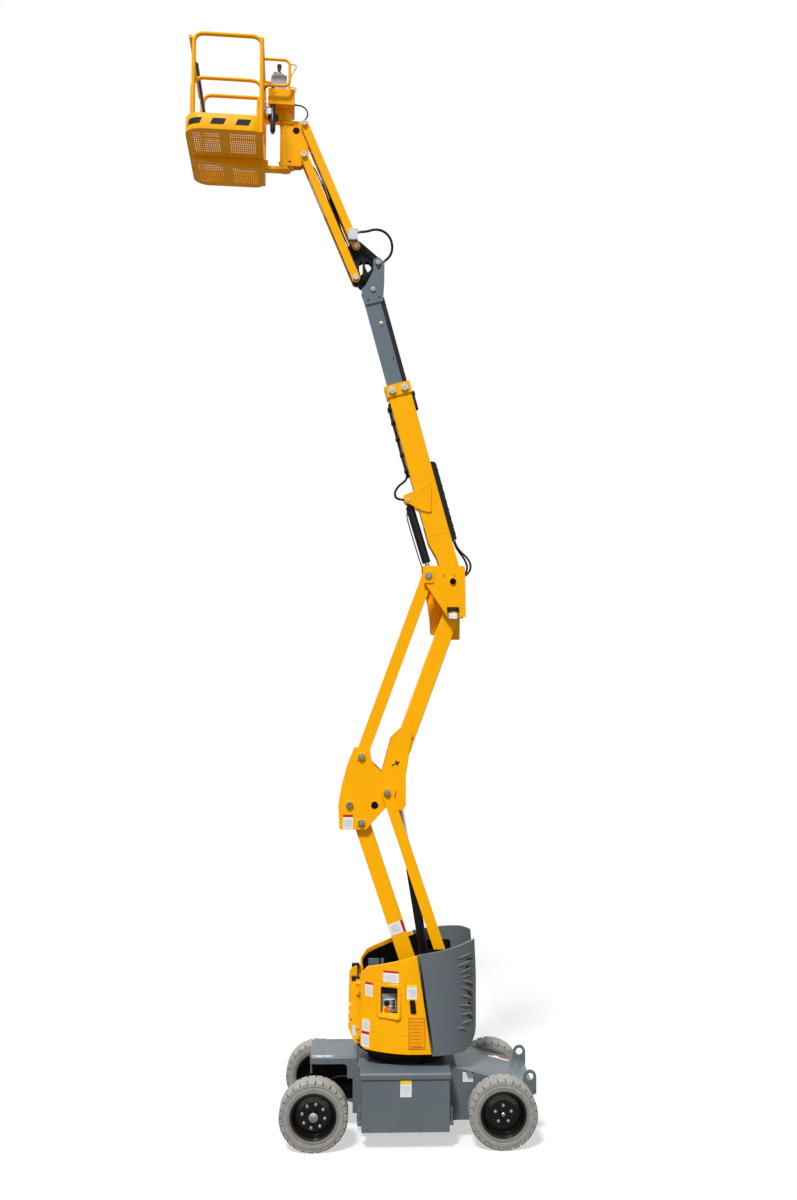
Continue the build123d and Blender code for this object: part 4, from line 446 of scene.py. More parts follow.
def sheet_strip(shape, feet, low, high, thick):
    """An upright sheet on plan points, from the height low to the height high(x)."""
    rows = []
    for index, foot in enumerate(feet):
        before, after = feet[max(index - 1, 0)], feet[min(index + 1, len(feet) - 1)]
        run = (after - before).normalized()
        beyond = foot + Vector((-run.y, run.x)) * thick
        rows.append([shape.verts.new((place.x, place.y, height)) for place, height in
                     ((foot, low), (foot, high(foot.x)), (beyond, high(foot.x)), (beyond, low))])
    ring_skin(shape, rows)
    for row in (rows[0], rows[-1]):
        shape.faces.new(row)


# a rib's cross section: shares of its width and height
RIB_SECTION = ((-0.5, -0.3), (-0.42, 0.35), (-0.2, 0.9), (0.0, 1.0), (0.2, 0.9), (0.42, 0.35), (0.5, -0.3))
RIB_STEPS = 6


def ridge(shape, target, inward, places, width, height):
    """A rounded rib in mm that follows a surface from place to place, with tapered ends."""
    rows = []
    steps = (len(places) - 1) * RIB_STEPS
    for step in range(steps + 1):
        share = step / RIB_STEPS
        index = min(int(share), len(places) - 2)
        spot = places[index].lerp(places[index + 1], share - index)
        aside = inward.cross((places[index + 1] - places[index]).normalized()).normalized()
        taper = min(1.0, 0.25 + 3.0 * min(step, steps - step) / steps)
        rows.append([shape.verts.new(
            pressed(target, spot + aside * width * MM * across * taper, inward, 0.15, 0.4)
            - inward * height * MM * lift * taper) for across, lift in RIB_SECTION])
    ring_skin(shape, rows)
    for row in (rows[0], rows[-1]):
        shape.faces.new(row)


# ---------------------------------------------------------------- camera
def camera():
    """The camera, square to the machine's left side and a little above its platform's reach."""
    lens = bpy.data.cameras.new("camera")
    lens.lens = 33.54
    lens.sensor_width = 36.0
    lens.shift_x = -0.0063
    lens.shift_y = 0.0026
    holder = placed("camera", lens)
    turn = (Matrix.Rotation(math.pi - 0.043, 4, "Z") @ Matrix.Rotation(math.pi / 2 + 0.061, 4, "X")
            @ Matrix.Rotation(0.005, 4, "Z"))
    holder.matrix_world = Matrix.Translation((0.473, 10.502, 4.145)) @ turn
    bpy.context.scene.camera = holder


# ---------------------------------------------------------------- hoses
HEAD_PIN = PIVOT["head_level"]
TURN_X = PIVOT["platform_turn"].x
HOSES = (
    # node, body, pivot of its route, radius in mm, length in metres, route in mm from the pivot
    ("jib_hose", "bracket", PIVOT["platform_level"], 12.0, 0.597,
     [(192, 126, 276), (122, 126, 276), (32, 121, 310), (-60, 104, 296), (-124, 76, 230),
      (-138, 46, 140), (-102, 22, 62), (-44, 10, 30)]),
    ("root_hose_left", "knuckle_top", PIVOT["boom_luff"], 10.0, 0.474,
     [(-18.9, 26, 404.7), (-34.9, 26, 346.9), (-82.7, 46, 281.8), (-142.7, 72, 225.8),
      (-176.7, 92, 151.8), (-150.7, 97, 71.8), (-77.7, 97, 27.8)]),
    ("root_hose_right", "knuckle_top", PIVOT["boom_luff"], 10.0, 0.450,
     [(-18.9, -26, 404.7), (-34.2, -26, 349.4), (-76.7, -44, 289.8), (-128.7, -70, 227.8),
      (-160.7, -90, 155.8), (-138.7, -97, 79.8), (-73.7, -97, 35.8)]),
    ("console_hose", "head", Vector((TURN_X, 0, HEAD_PIN.z)), 7.0, 0.245,
     [(-88.6, 54.7, 504.4), (-126.5, 52.4, 504.4), (-171.1, 50, 492.4), (-205.1, 46, 462.4),
      (-217.1, 43, 420.4), (-201.1, 40, 382.4), (-177.1, 40, 358.4)]),
)


def hoses():
    """Hydraulic and control hoses, each one smooth curve from gland to gland."""
    for node, body, pivot, radius, length, offsets in HOSES:
        route = [Vector((pivot.x + x * MM, y * MM, pivot.z + z * MM)) for x, y, z in offsets]
        piece = tube(f"{node}_line", body, hose_rubber, route, radius)
        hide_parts(node)
        # crimped steel ferrules on both ends
        shape = bmesh.new()
        grip = radius + 3.2
        for end, beyond in ((route[0], route[1]), (route[-1], route[-2])):
            out = (beyond - end).normalized()
            turned(shape, end - out * 2 * MM, out,
                   [(0, 0), (grip + 2, 0), (grip + 2, 7), (grip, 8), (grip, 13), (grip - 1.2, 14),
                    (grip, 15), (grip, 21), (radius + 0.6, 24), (0, 24)], segments=20)
        keep(shape, f"{node}_ferrules", body, "box_metal", dull_zinc)


# ---------------------------------------------------------------- wheels
WHEEL_ENDS = (
    # end, nuts, their circle's radius, the hub cap's stand-off, segments and profile
    ("front", 8, 0.100, 34, 32, [(40, 0), (40, 2), (33, 4), (16, 9), (0, 10)]),
    ("rear", 5, 0.073, 10, 28, [(17, 0), (17, 5), (13, 8), (0, 8)]),
)
HUB_FACE = 0.050


def wheels():
    """Wheel nuts on their studs, hub caps, tyre valves and the moulded rings of the tyres' walls."""
    for end, count, circle, stand_off, segments, cap in WHEEL_ENDS:
        for side, sign in SIDES:
            hub = PIVOT[f"wheel_{end}_{side}"]
            out = LEFT * sign
            body = f"wheel_{end}_{side}"
            face = hub + out * HUB_FACE
            shape = bmesh.new()
            for step in range(count):
                turn = math.tau * (step + 0.25) / count
                spot = face + Vector((math.cos(turn), 0, math.sin(turn))) * circle
                hex_bolt(shape, spot, out, 21, 10, washer=14)
                turned(shape, spot, out, [(6, 0), (6, 19), (0, 20)], segments=12)
            turned(shape, face + out * stand_off * MM, out, cap, segments)
            keep(shape, f"wheel_nuts_{end}_{side}", body, "rod_chrome", zinc)

            rings = bmesh.new()
            # bead ring beside the rim, and the step between wall and tread
            for inner, outer, foot, top in ((203.5, 222.5, 86.0, 94.8), (256.0, 264.0, 91.5, 95.0)):
                turned(rings, hub, out, [(inner, foot), (inner + 3, top - 1), (inner + 6, top),
                                         (outer - 4, top), (outer, foot)], segments=96)
            keep(rings, f"tyre_rings_{end}_{side}", body, "grey_rubber", tyre_grey)

            lip = bmesh.new()
            turned(lip, hub, out, [(189.5, 78), (190, 84.2), (193.5, 86.2), (198.5, 85), (199, 80)],
                   segments=96)
            valve = hub + out * 0.036 + Vector((math.cos(2.1), 0, math.sin(2.1))) * 0.158
            turned(lip, valve, out, [(6, 0), (6, 14), (4, 18), (4, 26), (0, 27)], segments=12)
            keep(lip, f"rim_lip_{end}_{side}", body, "black_paint", rim_black)


# ---------------------------------------------------------------- pins
ARM_ANGLE, BOOM_ANGLE, JIB_ANGLE = 71.0, 74.5, 66.9
# distances from the middle: the knuckles' plates, the boom pin's end, the black disc of painted shade in the
# lightening hole
PLATE_FACE, BOOM_PIN_END, HOLE_SHADE_DISC = 0.130, 0.1422, 0.1195
TIE_TOP = PIVOT["knuckle_top_pin"] + Vector((0.236, 0, 0.323))
SHIELD_PIN = PIVOT["knuckle_mid_pin"] + Vector((0.109, 0, 0.161))


def on_boom(distance, up=0.0, y=0.0):
    """The point at a distance in mm along the boom, up behind its line and y to the left."""
    return along(PIVOT["boom_luff"], BOOM_ANGLE, distance, up, y)


ALONG_BOOM = (on_boom(1000) - on_boom(0)).normalized()
BEHIND_BOOM = LEFT.cross(-ALONG_BOOM)
PIN_FACES = (
    # name, centre, body, distance of the head's face from the middle, head radius, bolted
    ("arm_top", PIVOT["knuckle_mid_pin"], "knuckle_mid", 0.142, 30, True),
    ("tie_foot", PIVOT["tie_foot"], "knuckle_mid", 0.142, 31, True),
    ("shield", SHIELD_PIN, "knuckle_mid", 0.142, 31, False),
    ("strut_top", PIVOT["arm_upper_foot"], "knuckle_mid", 0.174, 30, True),
    ("tie_top", TIE_TOP, "knuckle_top", 0.142, 33, True),
    ("strut_foot", PIVOT["strut_foot"], "turret", 0.216, 26, True),
    ("riser", PIVOT["riser"], "turret", 0.216, 26, True),
    ("levelling", PIVOT["platform_level"], "fly", 0.080, 25, True),
    ("fly_cheek", on_boom(2887.0, 9.0), "fly", 0.068, 26, True),
)
JIB_CAP_FACE = 0.097
JIB_CAPS = (
    ("jib_lower", PIVOT["jib"], "bracket"), ("head_lower", HEAD_PIN, "head"),
    ("jib_upper", PIVOT["jib_upper_foot"], "bracket"),
    ("head_upper", HEAD_PIN + PIVOT["jib_upper_foot"] - PIVOT["jib"], "head"),
)


def pins():
    """Pin ends with their centring cones, most of them held by a bolt and washer."""
    for name, pivot, body, reach, radius, bolted in PIN_FACES:
        shape = bmesh.new()
        for centre, out, _ in both_sides(pivot.x, reach, pivot.z):
            turned(shape, centre, out, [(0, 0), (radius, 0), (radius, 8), (radius - 3, 11), (9, 11),
                                        (5, 7), (0, 7)], segments=32)
            if bolted:
                turned(shape, centre + out * 10 * MM, out, [(17, 0), (17, 2), (0, 2)], material=1)
                hex_bolt(shape, centre + out * 12 * MM, out, 19, 8)
        keep(shape, f"pin_ends_{name}", body, "box_metal", dull_zinc, zinc)


def jib_caps():
    """White nylon caps on the ends of the four jib pins."""
    for name, pivot, body in JIB_CAPS:
        shape = bmesh.new()
        for centre, out, _ in both_sides(pivot.x, JIB_CAP_FACE, pivot.z):
            turned(shape, centre, out, [(0, 0), (27, 0), (27, 8), (23, 13), (12, 13), (11, 9), (0, 9)],
                   segments=28)
        keep(shape, f"pin_caps_{name}", body, "box_metal", cap_white)


def knuckle_details():
    """The level gauge of the top knuckle and painted shade in its pin's bore and tapped holes; painted shade in a
    lightening hole, pads and a hook lower down.
    """
    hinge, middle = PIVOT["boom_luff"], PIVOT["knuckle_mid_pin"]
    shape = bmesh.new()
    # dark bubble gauge in its frame, over a white terminal block
    gauge = Vector((hinge.x - 0.002, PLATE_FACE, hinge.z - 0.262))
    for offset, width, height, thick, material in ((0.0, 112, 40, 16, 1), (0.0, 60, 20, 19, 4),
                                                   (-0.062, 76, 50, 22, 0), (-0.040, 112, 12, 10, 1)):
        block(shape, gauge + UP * offset, -FORWARD, UP, width, height, thick, radius=4, material=material)
    for x, z, out in ((0.046, -0.042, 0.010), (-0.046, -0.042, 0.010), (0.020, -0.062, 0.022),
                      (-0.020, -0.062, 0.022)):
        hex_bolt(shape, gauge + Vector((x, out, z)), LEFT, 8, 4)
    # black discs: painted shade in the pin's open bore and in two columns of tapped holes
    turned(shape, Vector((hinge.x, BOOM_PIN_END, hinge.z)), LEFT,
           [(0, 0), (29, 0), (29, 1), (26, 1.6), (0, 1.2)], segments=36, material=2)
    for x in (0.085, -0.014):
        for z in (0.040, 0.052, 0.066):
            turned(shape, Vector((hinge.x + x, PLATE_FACE, hinge.z + z)), LEFT,
                   [(4.5, 0), (4.5, 0.8), (0, 0.8)], segments=12, material=2)
    keep(shape, "level_gauge", "knuckle_top", "black_plastic", VINYL[WHITE], black_abs, shade_black, zinc,
         lens_dark)
    # yellow doubler under the tie's pin
    shape = bmesh.new()
    for spot, _, across in both_sides(TIE_TOP.x, PLATE_FACE, TIE_TOP.z - 0.012):
        block(shape, spot, across, UP, 98, 112, 10, radius=12)
    keep(shape, "tie_pin_doublers", "knuckle_top", "yellow_paint", boom_yellow)
    # black disc behind the mid knuckle's lightening hole: painted shade of the knuckle's hollow inside
    shape = bmesh.new()
    for spot, out, _ in both_sides(middle.x - 0.122, HOLE_SHADE_DISC, middle.z + 0.155):
        disc(shape, spot, out, 31, 1.5, segments=32)
        turned(shape, spot + out * 0.5 * MM + Vector((-0.004, 0, 0.004)), out, [(9, 0), (9, 6), (0, 6)],
               segments=20)
    keep(shape, "knuckle_hole_shade", "knuckle_mid", "black_paint", frame_black_and_shade)
    # raised pads where the bars meet it
    shape = bmesh.new()
    for pin in (PIVOT["tie_foot"], middle):
        for spot, _, across in both_sides(pin.x, PLATE_FACE, pin.z):
            block(shape, spot, across, UP, 86, 70, 6, radius=10)
    keep(shape, "knuckle_pads", "knuckle_mid", "yellow_paint", boom_yellow)
    # hose hook on the upper arm's root plate
    shape = bmesh.new()
    hook = Vector((0.113, 0.112, 3.293))
    lean = Vector((-0.9, 0, 0.42)).normalized()
    square = Vector((lean.z, 0, -lean.x))
    block(shape, hook, lean, -square, 80, 12, 16, radius=3)
    block(shape, hook + lean * 0.012, lean, -square, 14, 50, 12, radius=3)
    keep(shape, "hose_hook", "arm_upper", "black_plastic", black_abs)


# ---------------------------------------------------------------- boom and fly boom
BOOM_PIN = (851.0, -197.0)      # the lift cylinder's upper pin: along, above the boom's line
BOOM_LINES = (
    # name, mm to the left, and (along, above the boom's line); the outer one turns in to the cylinder
    ("outer", 28.0, ((1790, -122), (1780, -140), (1500, -137), (1300, -141), (1085, -137), (1040, -170),
                     (1010, -250), (955, -305), (890, -300), (868, -228))),
    ("inner", -24.0, ((1790, -122), (1775, -140), (1480, -137), (1280, -141), (1095, -137), (1070, -124))),
)
# distances from the middle: the boom's collar and the lift cylinder's lugs
COLLAR_FACE, LUG_FACE = 0.101, 0.091
# in mm: half widths, then levels above the boom's line
BOOM_SIDE, FLY_SIDE, CHEEK_SIDE, TRAY_SIDE = 90.0, 56.0, 68.0, 45.0
CLIP_LEVEL, CHAIN_LEVEL, EXIT_LEVEL, TRAY_SCREWS, TRAY_BACK = -119.0, 78.0, 100.5, 126.0, 152.0
CHAIN_START, CHAIN_LINK, CHAIN_LINKS = 1880.0, 46.0, 20
TRAY_START = 440.0


def boom_details():
    """Collar bolts, welds, clipped lines and the lift cylinder's feed pipe."""
    shape = bmesh.new()
    for up in (50.0, -70.0):
        bolt = on_boom(1894.0, up)
        for spot, out, _ in both_sides(bolt.x, COLLAR_FACE, bolt.z):
            turned(shape, spot, out, [(0, 0), (34, 0), (34, 4), (30, 7), (20, 7), (19, 3), (0, 3)],
                   segments=32)
            hex_bolt(shape, spot + out * 3 * MM, out, 24, 11)
    pin = on_boom(*BOOM_PIN)
    for spot, out, _ in both_sides(pin.x, LUG_FACE, pin.z):
        turned(shape, spot, out, [(0, 0), (15, 0), (13, 3), (0, 3)])
    keep(shape, "collar_bolts", "boom", "box_metal", zinc)

    # weld seams where the root plates and the bracket meet the tube
    shape = bmesh.new()
    skin = surface_of("boom_tube")
    for _, sign in SIDES:
        for ends in (((470, -112), (470, 92)), ((900, -100), (948, 46))):
            ridge(shape, skin, LEFT * -sign, [on_boom(*end, sign * BOOM_SIDE) for end in ends], 9, 2.4)
    keep(shape, "boom_welds", "boom", "yellow_paint", boom_yellow)

    for name, y, points in BOOM_LINES:
        tube(f"boom_line_{name}", "boom", hose_rubber,
             [on_boom(distance, up, y) for distance, up in points], 11)
    shape = bmesh.new()
    for distance in (1130, 1290, 1450, 1610, 1740):
        block(shape, on_boom(distance, CLIP_LEVEL), LEFT, ALONG_BOOM, 110, 30, 36, radius=5)
    keep(shape, "line_clips", "boom", "black_plastic", black_abs)

    # feed pipe beside the lift cylinder's barrel
    run = (PIVOT["boom_luff"] + Vector((0.139, 0, -0.141)) - pin).normalized()
    beside = Vector((-run.z, 0, run.x))
    tube("lift_cylinder_pipe", "boom_barrel", cylinder_black,
         [pin + run * down + beside * aside for down, aside in
          ((0.09, 0.030), (0.12, 0.056), (0.30, 0.058), (0.60, 0.058), (0.66, 0.050), (0.68, 0.032))], 5.5)


def fly_details():
    """The energy chain behind the fly boom, its wear strips, bosses and bolts."""
    shape = bmesh.new()
    for step in range(CHAIN_LINKS):
        block(shape, on_boom(CHAIN_START + CHAIN_LINK * (step + 0.5), CHAIN_LEVEL), LEFT, -ALONG_BOOM, 84,
              CHAIN_LINK - 5, 15, radius=5)
    keep(shape, "energy_chain", "fly", "black_plastic", black_abs)
    shape = bmesh.new()
    for distance, length, tall in ((1750, 150, 28), (1835, 40, 36)):
        block(shape, on_boom(distance, EXIT_LEVEL), LEFT, -ALONG_BOOM, 80, length, tall, radius=8)
    keep(shape, "chain_exit", "boom", "black_plastic", black_abs)

    strips, bosses, fixings = bmesh.new(), bmesh.new(), bmesh.new()
    for _, sign in SIDES:
        out = LEFT * sign
        # thin wear strip along the rear edge
        block(strips, on_boom(2350.0, 62.0, sign * FLY_SIDE), BEHIND_BOOM * sign, ALONG_BOOM, 28, 800, 0.7)
        # grease fitting boss
        boss = on_boom(2548.0, 2.0, sign * FLY_SIDE)
        turned(bosses, boss, out, [(0, 0), (24, 0), (24, 2), (21, 4), (0, 4)], segments=28)
        hex_bolt(bosses, boss + out * 4 * MM, out, 17, 5)
        # black disc of painted shade in a tooling hole, and bolt heads along the cheek plates' edges
        turned(fixings, on_boom(2196.0, 24.0, sign * FLY_SIDE), out, [(8, 0), (8, 0.8), (0, 0.8)],
               segments=18)
        for distance, up in ((2800, 48), (2800, -62), (3070, 112)):
            hex_bolt(fixings, on_boom(distance, up, sign * CHEEK_SIDE), out, 13, 6)
    keep(strips, "fly_edge_strips", "fly", "black_plastic", black_abs)
    keep(bosses, "fly_boss", "fly", "box_metal", dull_zinc)
    keep(fixings, "fly_fixings", "fly", "black_plastic", black_abs)


def tray_cover():
    """Ribs and screws of the cable tray's cover."""
    shape = bmesh.new()
    for step in range(9):
        block(shape, on_boom(TRAY_START + 78.0 * step, TRAY_BACK), LEFT, -ALONG_BOOM, 90, 12, 4, radius=1)
    for sign in (1, -1):
        for step in range(5):
            hex_bolt(shape, on_boom(TRAY_START + 160.0 * step, TRAY_SCREWS, sign * TRAY_SIDE), LEFT * sign,
                     10, 4)
    keep(shape, "tray_ribs", "boom", "black_plastic", black_abs)


# ---------------------------------------------------------------- jib and platform
# outlines cut from the levelling bracket, in mm from its pivot: two openings and the lower front corner
BRACKET_OPENINGS = (((62, -8), (92, 24), (128, 24), (124, -34), (100, -84), (72, -60)),
                    ((150, 26), (180, 8), (180, -70), (166, -118), (146, -92)),
                    ((256, -40), (320, -40), (320, -230), (170, -230), (196, -196), (240, -184)))
CUT_DEPTH = 0.18                # right through both plates
JIB_SIDE = 70.0                 # in mm from the middle
# x and z from the head's pin, and radius in mm
BORES = ((0.079, 0.256, 33), (0.234, -0.049, 11), (0.139, -0.049, 11))


def bracket_openings():
    """The levelling bracket with its two lightening openings, which leave narrow black arms."""
    node = frame["nodes"]["levelling_bracket"]
    cutters = bmesh.new()
    for outline in BRACKET_OPENINGS:
        slab(cutters, [(x * MM, z * MM) for x, z in outline], PIVOT["platform_level"] + LEFT * CUT_DEPTH / 2,
             FORWARD, UP, CUT_DEPTH)
    shape = bmesh.new()
    shape.from_mesh(node.data)
    shape.transform(node.matrix_world)
    bmesh.ops.remove_doubles(shape, verts=shape.verts, dist=1e-6)
    plates = keep(shape, "bracket_plates", "bracket", "black_paint", axle_black)
    cut_away(plates, cutters)
    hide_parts("levelling_bracket")


def jib_details():
    """Hard lines on the jib bars, the junction box's screws, and painted shade over the head's bores."""
    for side, sign in SIDES:
        route = [along(PIVOT["jib"], JIB_ANGLE, distance, up, sign * JIB_SIDE) for distance, up in
                 ((70, 38), (100, 50), (500, 50), (900, 50), (1130, 50), (1160, 38))]
        tube(f"jib_line_{side}", "jib_lower", hose_rubber, route, 6)
    shape = bmesh.new()
    low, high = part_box("junction_box")
    for x in (-0.026, 0.034):
        for z in (-0.042, 0.042):
            hex_bolt(shape, Vector(((low[0] + high[0]) / 2 + x, high[1], (low[2] + high[2]) / 2 + z)), LEFT,
                     7, 3)
    keep(shape, "box_screws", "bracket", "box_metal", dull_zinc)

    # black discs over the jib head's bores: painted shade of their hollow insides
    shape = bmesh.new()
    head = surface_of("jib_head")
    for x, z, radius in BORES:
        for side, out, _ in both_sides(HEAD_PIN.x + x, 0.4, HEAD_PIN.z + z):
            # the ray meets the plate beside the bore, clear of the opening itself
            hit = head.ray_cast(side - UP * radius * 1.2 * MM, -out)[0]
            if hit is not None:
                disc(shape, Vector((side.x, hit.y, side.z)), out, radius, 0.8, segments=32)
    keep(shape, "head_bore_shade", "head", "black_paint", frame_black_and_shade)


VALVE_HOSES = (("a", ((0.150, 0.14, 0.46), (0.150, 0.14, 0.52), (0.120, 0.15, 0.56), (0.075, 0.15, 0.57))),
               ("b", ((0.205, 0.14, 0.50), (0.208, 0.14, 0.60), (0.160, 0.15, 0.64), (0.100, 0.15, 0.63))))


def turning_drive():
    """The platform's turning cylinder, its valves and their clipped hoses."""
    def beside_shaft(x, y, z):
        return Vector((TURN_X + x, y, HEAD_PIN.z + z))

    shape = bmesh.new()
    turned(shape, beside_shaft(0.112, 0.128, 0.185), UP,
           [(0, 0), (18, 0), (18, 20), (26, 22), (26, 170), (20, 180), (20, 310), (26, 315), (26, 390),
            (14, 400), (14, 470), (0, 475)], segments=32)
    block(shape, beside_shaft(0.112, 0.103, 0.36), UP, FORWARD, 50, 100, -50, radius=4)
    keep(shape, "turning_cylinder", "platform", "black_paint", cylinder_black)
    shape = bmesh.new()
    for x, z, width, height in ((0.150, 0.385, 52, 56), (0.195, 0.425, 40, 60)):
        block(shape, beside_shaft(x, 0.118, z), -FORWARD, UP, width, height, 45, radius=4)
    for x, z in ((0.150, 0.425), (0.205, 0.465)):
        turned(shape, beside_shaft(x, 0.140, z), UP, [(7, 0), (7, 30), (4, 34), (0, 34)], segments=16)
    keep(shape, "valve_blocks", "platform", "box_metal", box_steel)
    for name, points in VALVE_HOSES:
        tube(f"valve_hose_{name}", "platform", hose_rubber,
             [beside_shaft(*point) for point in points], 7)


PLATFORM_TURN = 3.5             # degrees the platform stands turned about its shaft
PLATFORM_YAW = Matrix.Rotation(math.radians(PLATFORM_TURN), 4, "Z")
PLATFORM_FORWARD, PLATFORM_LEFT = PLATFORM_YAW @ FORWARD, PLATFORM_YAW @ LEFT
FLOOR_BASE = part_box("basket_floor")[0][2]


def parked(x, y, z):
    """A point of the platform, x forward of its shaft before it is turned about it."""
    return Vector((TURN_X, 0, 0)) + PLATFORM_YAW @ Vector((x, y, z))


def bent(points, radius):
    """A tube's centre line: straight runs with a round bend at each corner."""
    path = [points[0]]
    for before, corner, after in zip(points, points[1:], points[2:]):
        run_in, run_out = (corner - before).normalized(), (after - corner).normalized()
        reach = radius * math.tan(run_in.angle(run_out) / 2)
        start, end = corner - run_in * reach, corner + run_out * reach
        for share in (step / 8 for step in range(9)):
            path.append(start.lerp(corner, share).lerp(corner.lerp(end, share), share))
    return path + [points[-1]]


def rail_runs():
    """The rails' radii in mm, bends in metres and corner points."""
    floor, middle, top = HEAD_PIN.z - 0.030, HEAD_PIN.z + 0.445, HEAD_PIN.z + 0.872
    rear, front, side_y = 0.216, 0.830, 0.5525
    for sign in (1, -1):
        y, inner, guard = sign * side_y, sign * (side_y - 0.034), sign * 0.210
        yield 19, 0.095, ((rear, y, floor), (rear, y, top), (front, y, top), (front, y, floor))
        # the left hoop stands on the floor, the right one hangs from the top rail
        end, level = (floor, middle + 0.030) if sign > 0 else (top - 0.060, middle - 0.030)
        yield 16.5, 0.110, ((rear - 0.004, inner, end), (rear - 0.004, inner, level),
                            (front + 0.014, inner, level), (front + 0.014, inner, end))
        # guard of the controls
        yield 13.5, 0.060, ((rear, guard, top - 0.013), (-0.035, guard, top - 0.013),
                            (-0.035, guard, top - 0.265), (rear, guard, top - 0.265))
        yield 13.5, 0.0, ((rear, guard, middle), (rear, guard, top - 0.013))
        # bag hook on the guard's outer end
        yield 5.5, 0.014, ((-0.035, guard, top - 0.050), (-0.092, guard, top - 0.055),
                           (-0.096, guard, top - 0.080), (-0.035, guard, top - 0.190))
    yield 17, 0.0, ((front + 0.031, -side_y, top - 0.034), (front + 0.031, side_y, top - 0.034))
    yield 13.5, 0.050, ((rear, -0.330, top - 0.110), (rear + 0.060, -0.330, top - 0.110),
                        (rear + 0.060, -0.330, middle - 0.020), (rear, -0.330, middle - 0.020))
    for level in (middle, top - 0.013):
        yield 16, 0.0, ((rear, -side_y, level), (rear, side_y, level))


def guard_rails():
    """The platform's bent tube rails: hoops at both sides, cross rails and the guards of the controls."""
    for index, (radius, bend, points) in enumerate(rail_runs()):
        piece = tube(f"guard_rail_{index:02d}", "platform", boom_yellow,
                     bent([parked(*point) for point in points], bend), radius, order=2)
        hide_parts("basket_rails")


FLOOR_LENGTH, FLOOR_WIDTH, FLOOR_MIDDLE, FLOOR_SHEET = 0.700, 1.195, 0.553, 0.004
FRONT_BEND, REAR_BEND = 0.150, 0.105
SLOT_COLUMNS, SLOT_ROWS, SLOT_PITCH = 13, 9, (0.0185, 0.043)
# inset and height round the toe board's section, with a rolled hem at the top
TOE_BOARD = ((0.0, 0.002), (0.002, 0.0), (FLOOR_SHEET, 0.0), (FLOOR_SHEET, 0.134), (0.010, 0.138),
             (0.010, 0.148), (0.007, 0.150), (0.002, 0.150), (0.0, 0.147))


def floor_plan(inset, height):
    """The floor's outline, with rounder corners at the front."""
    points = []
    for corner_x, corner_y, start, bend in ((1, 1, 0, FRONT_BEND), (-1, 1, 90, REAR_BEND),
                                            (-1, -1, 180, REAR_BEND), (1, -1, 270, FRONT_BEND)):
        for step in range(13):
            angle = math.radians(start + 90 * step / 12)
            points.append(parked(
                FLOOR_MIDDLE + corner_x * (FLOOR_LENGTH / 2 - bend) + (bend - inset) * math.cos(angle),
                corner_y * (FLOOR_WIDTH / 2 - bend) + (bend - inset) * math.sin(angle), FLOOR_BASE + height))
    return points


def platform_floor():
    """The floor pan: slotted sheet, with a toe board that has a rolled hem."""
    shape = bmesh.new()
    ring_skin(shape, [[shape.verts.new(place) for place in floor_plan(*step)] for step in TOE_BOARD],
              closed=True)
    rim = keep(shape, "toe_board", "platform", "yellow_paint", boom_yellow)
    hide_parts("basket_floor")

    shape = bmesh.new()
    prism(shape, *(floor_plan(FLOOR_SHEET - 0.0005, height) for height in (0.0015, 0.0075)))
    pan = keep(shape, "floor_pan", "platform", "yellow_paint", boom_yellow)
    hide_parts("basket_floor")
    # four patches of drainage slots
    slots = bmesh.new()
    for patch_x in (-0.165, 0.165):
        for patch_y in (-0.325, 0.325):
            for column in range(SLOT_COLUMNS):
                for row in range(SLOT_ROWS):
                    slab(slots, rounded(0.0055, 0.027, 0.0026, steps=2),
                         parked(FLOOR_MIDDLE + patch_x + (column - SLOT_COLUMNS // 2) * SLOT_PITCH[0],
                                patch_y + (row - SLOT_ROWS // 2) * SLOT_PITCH[1], FLOOR_BASE - 0.02),
                         PLATFORM_FORWARD, PLATFORM_LEFT, 0.06)
    cut_away(pan, slots)


def platform_details():
    """Console controls and the stripes round the toe board."""
    stick_x, foot = 0.065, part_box("control_console")[0][2]
    shape = bmesh.new()
    turned(shape, parked(stick_x, 0.060, foot + 0.165), UP,
           [(33, 0), (33, 6), (28, 12), (29, 20), (23, 28), (24, 36), (17, 44), (12, 50), (12, 66),
            (20, 70), (21, 114), (13, 119), (0, 120)], segments=28)
    for y in (-0.085, -0.050, -0.015):
        turned(shape, parked(stick_x + 0.005, y, foot + 0.155), UP,
               [(8, 0), (8, 6), (4, 8), (3, 24), (0, 25)], segments=16)
    keep(shape, "console_controls", "platform", "black_plastic", black_abs)
    shape = bmesh.new()
    turned(shape, parked(stick_x + 0.030, 0.105, foot + 0.148), UP,
           [(18, 0), (18, 12), (24, 14), (24, 24), (18, 30), (0, 32)], segments=28)
    keep(shape, "console_stop", "platform", "black_plastic", stop_red)

    # diagonal stripes round the toe board
    toe = surface_of("basket_floor")
    shape = bmesh.new()
    ahead, left, height = PLATFORM_FORWARD, PLATFORM_LEFT, FLOOR_BASE + 0.076
    side, front = FLOOR_WIDTH / 2, FLOOR_MIDDLE + FLOOR_LENGTH / 2
    for x in (0.375, 0.600, 0.815):
        for sign in (1, -1):
            label(shape, toe, parked(x, sign * side, height), ahead * -sign,
                  (UP - ahead * sign * 0.45).normalized(), 120, 62)
    for y in (-0.30, 0.0, 0.30):
        label(shape, toe, parked(front, y, height), left, (UP - left * 0.45).normalized(), 105, 62)
    keep(shape, "toe_board_stripes", "platform", "black_plastic", black_abs)


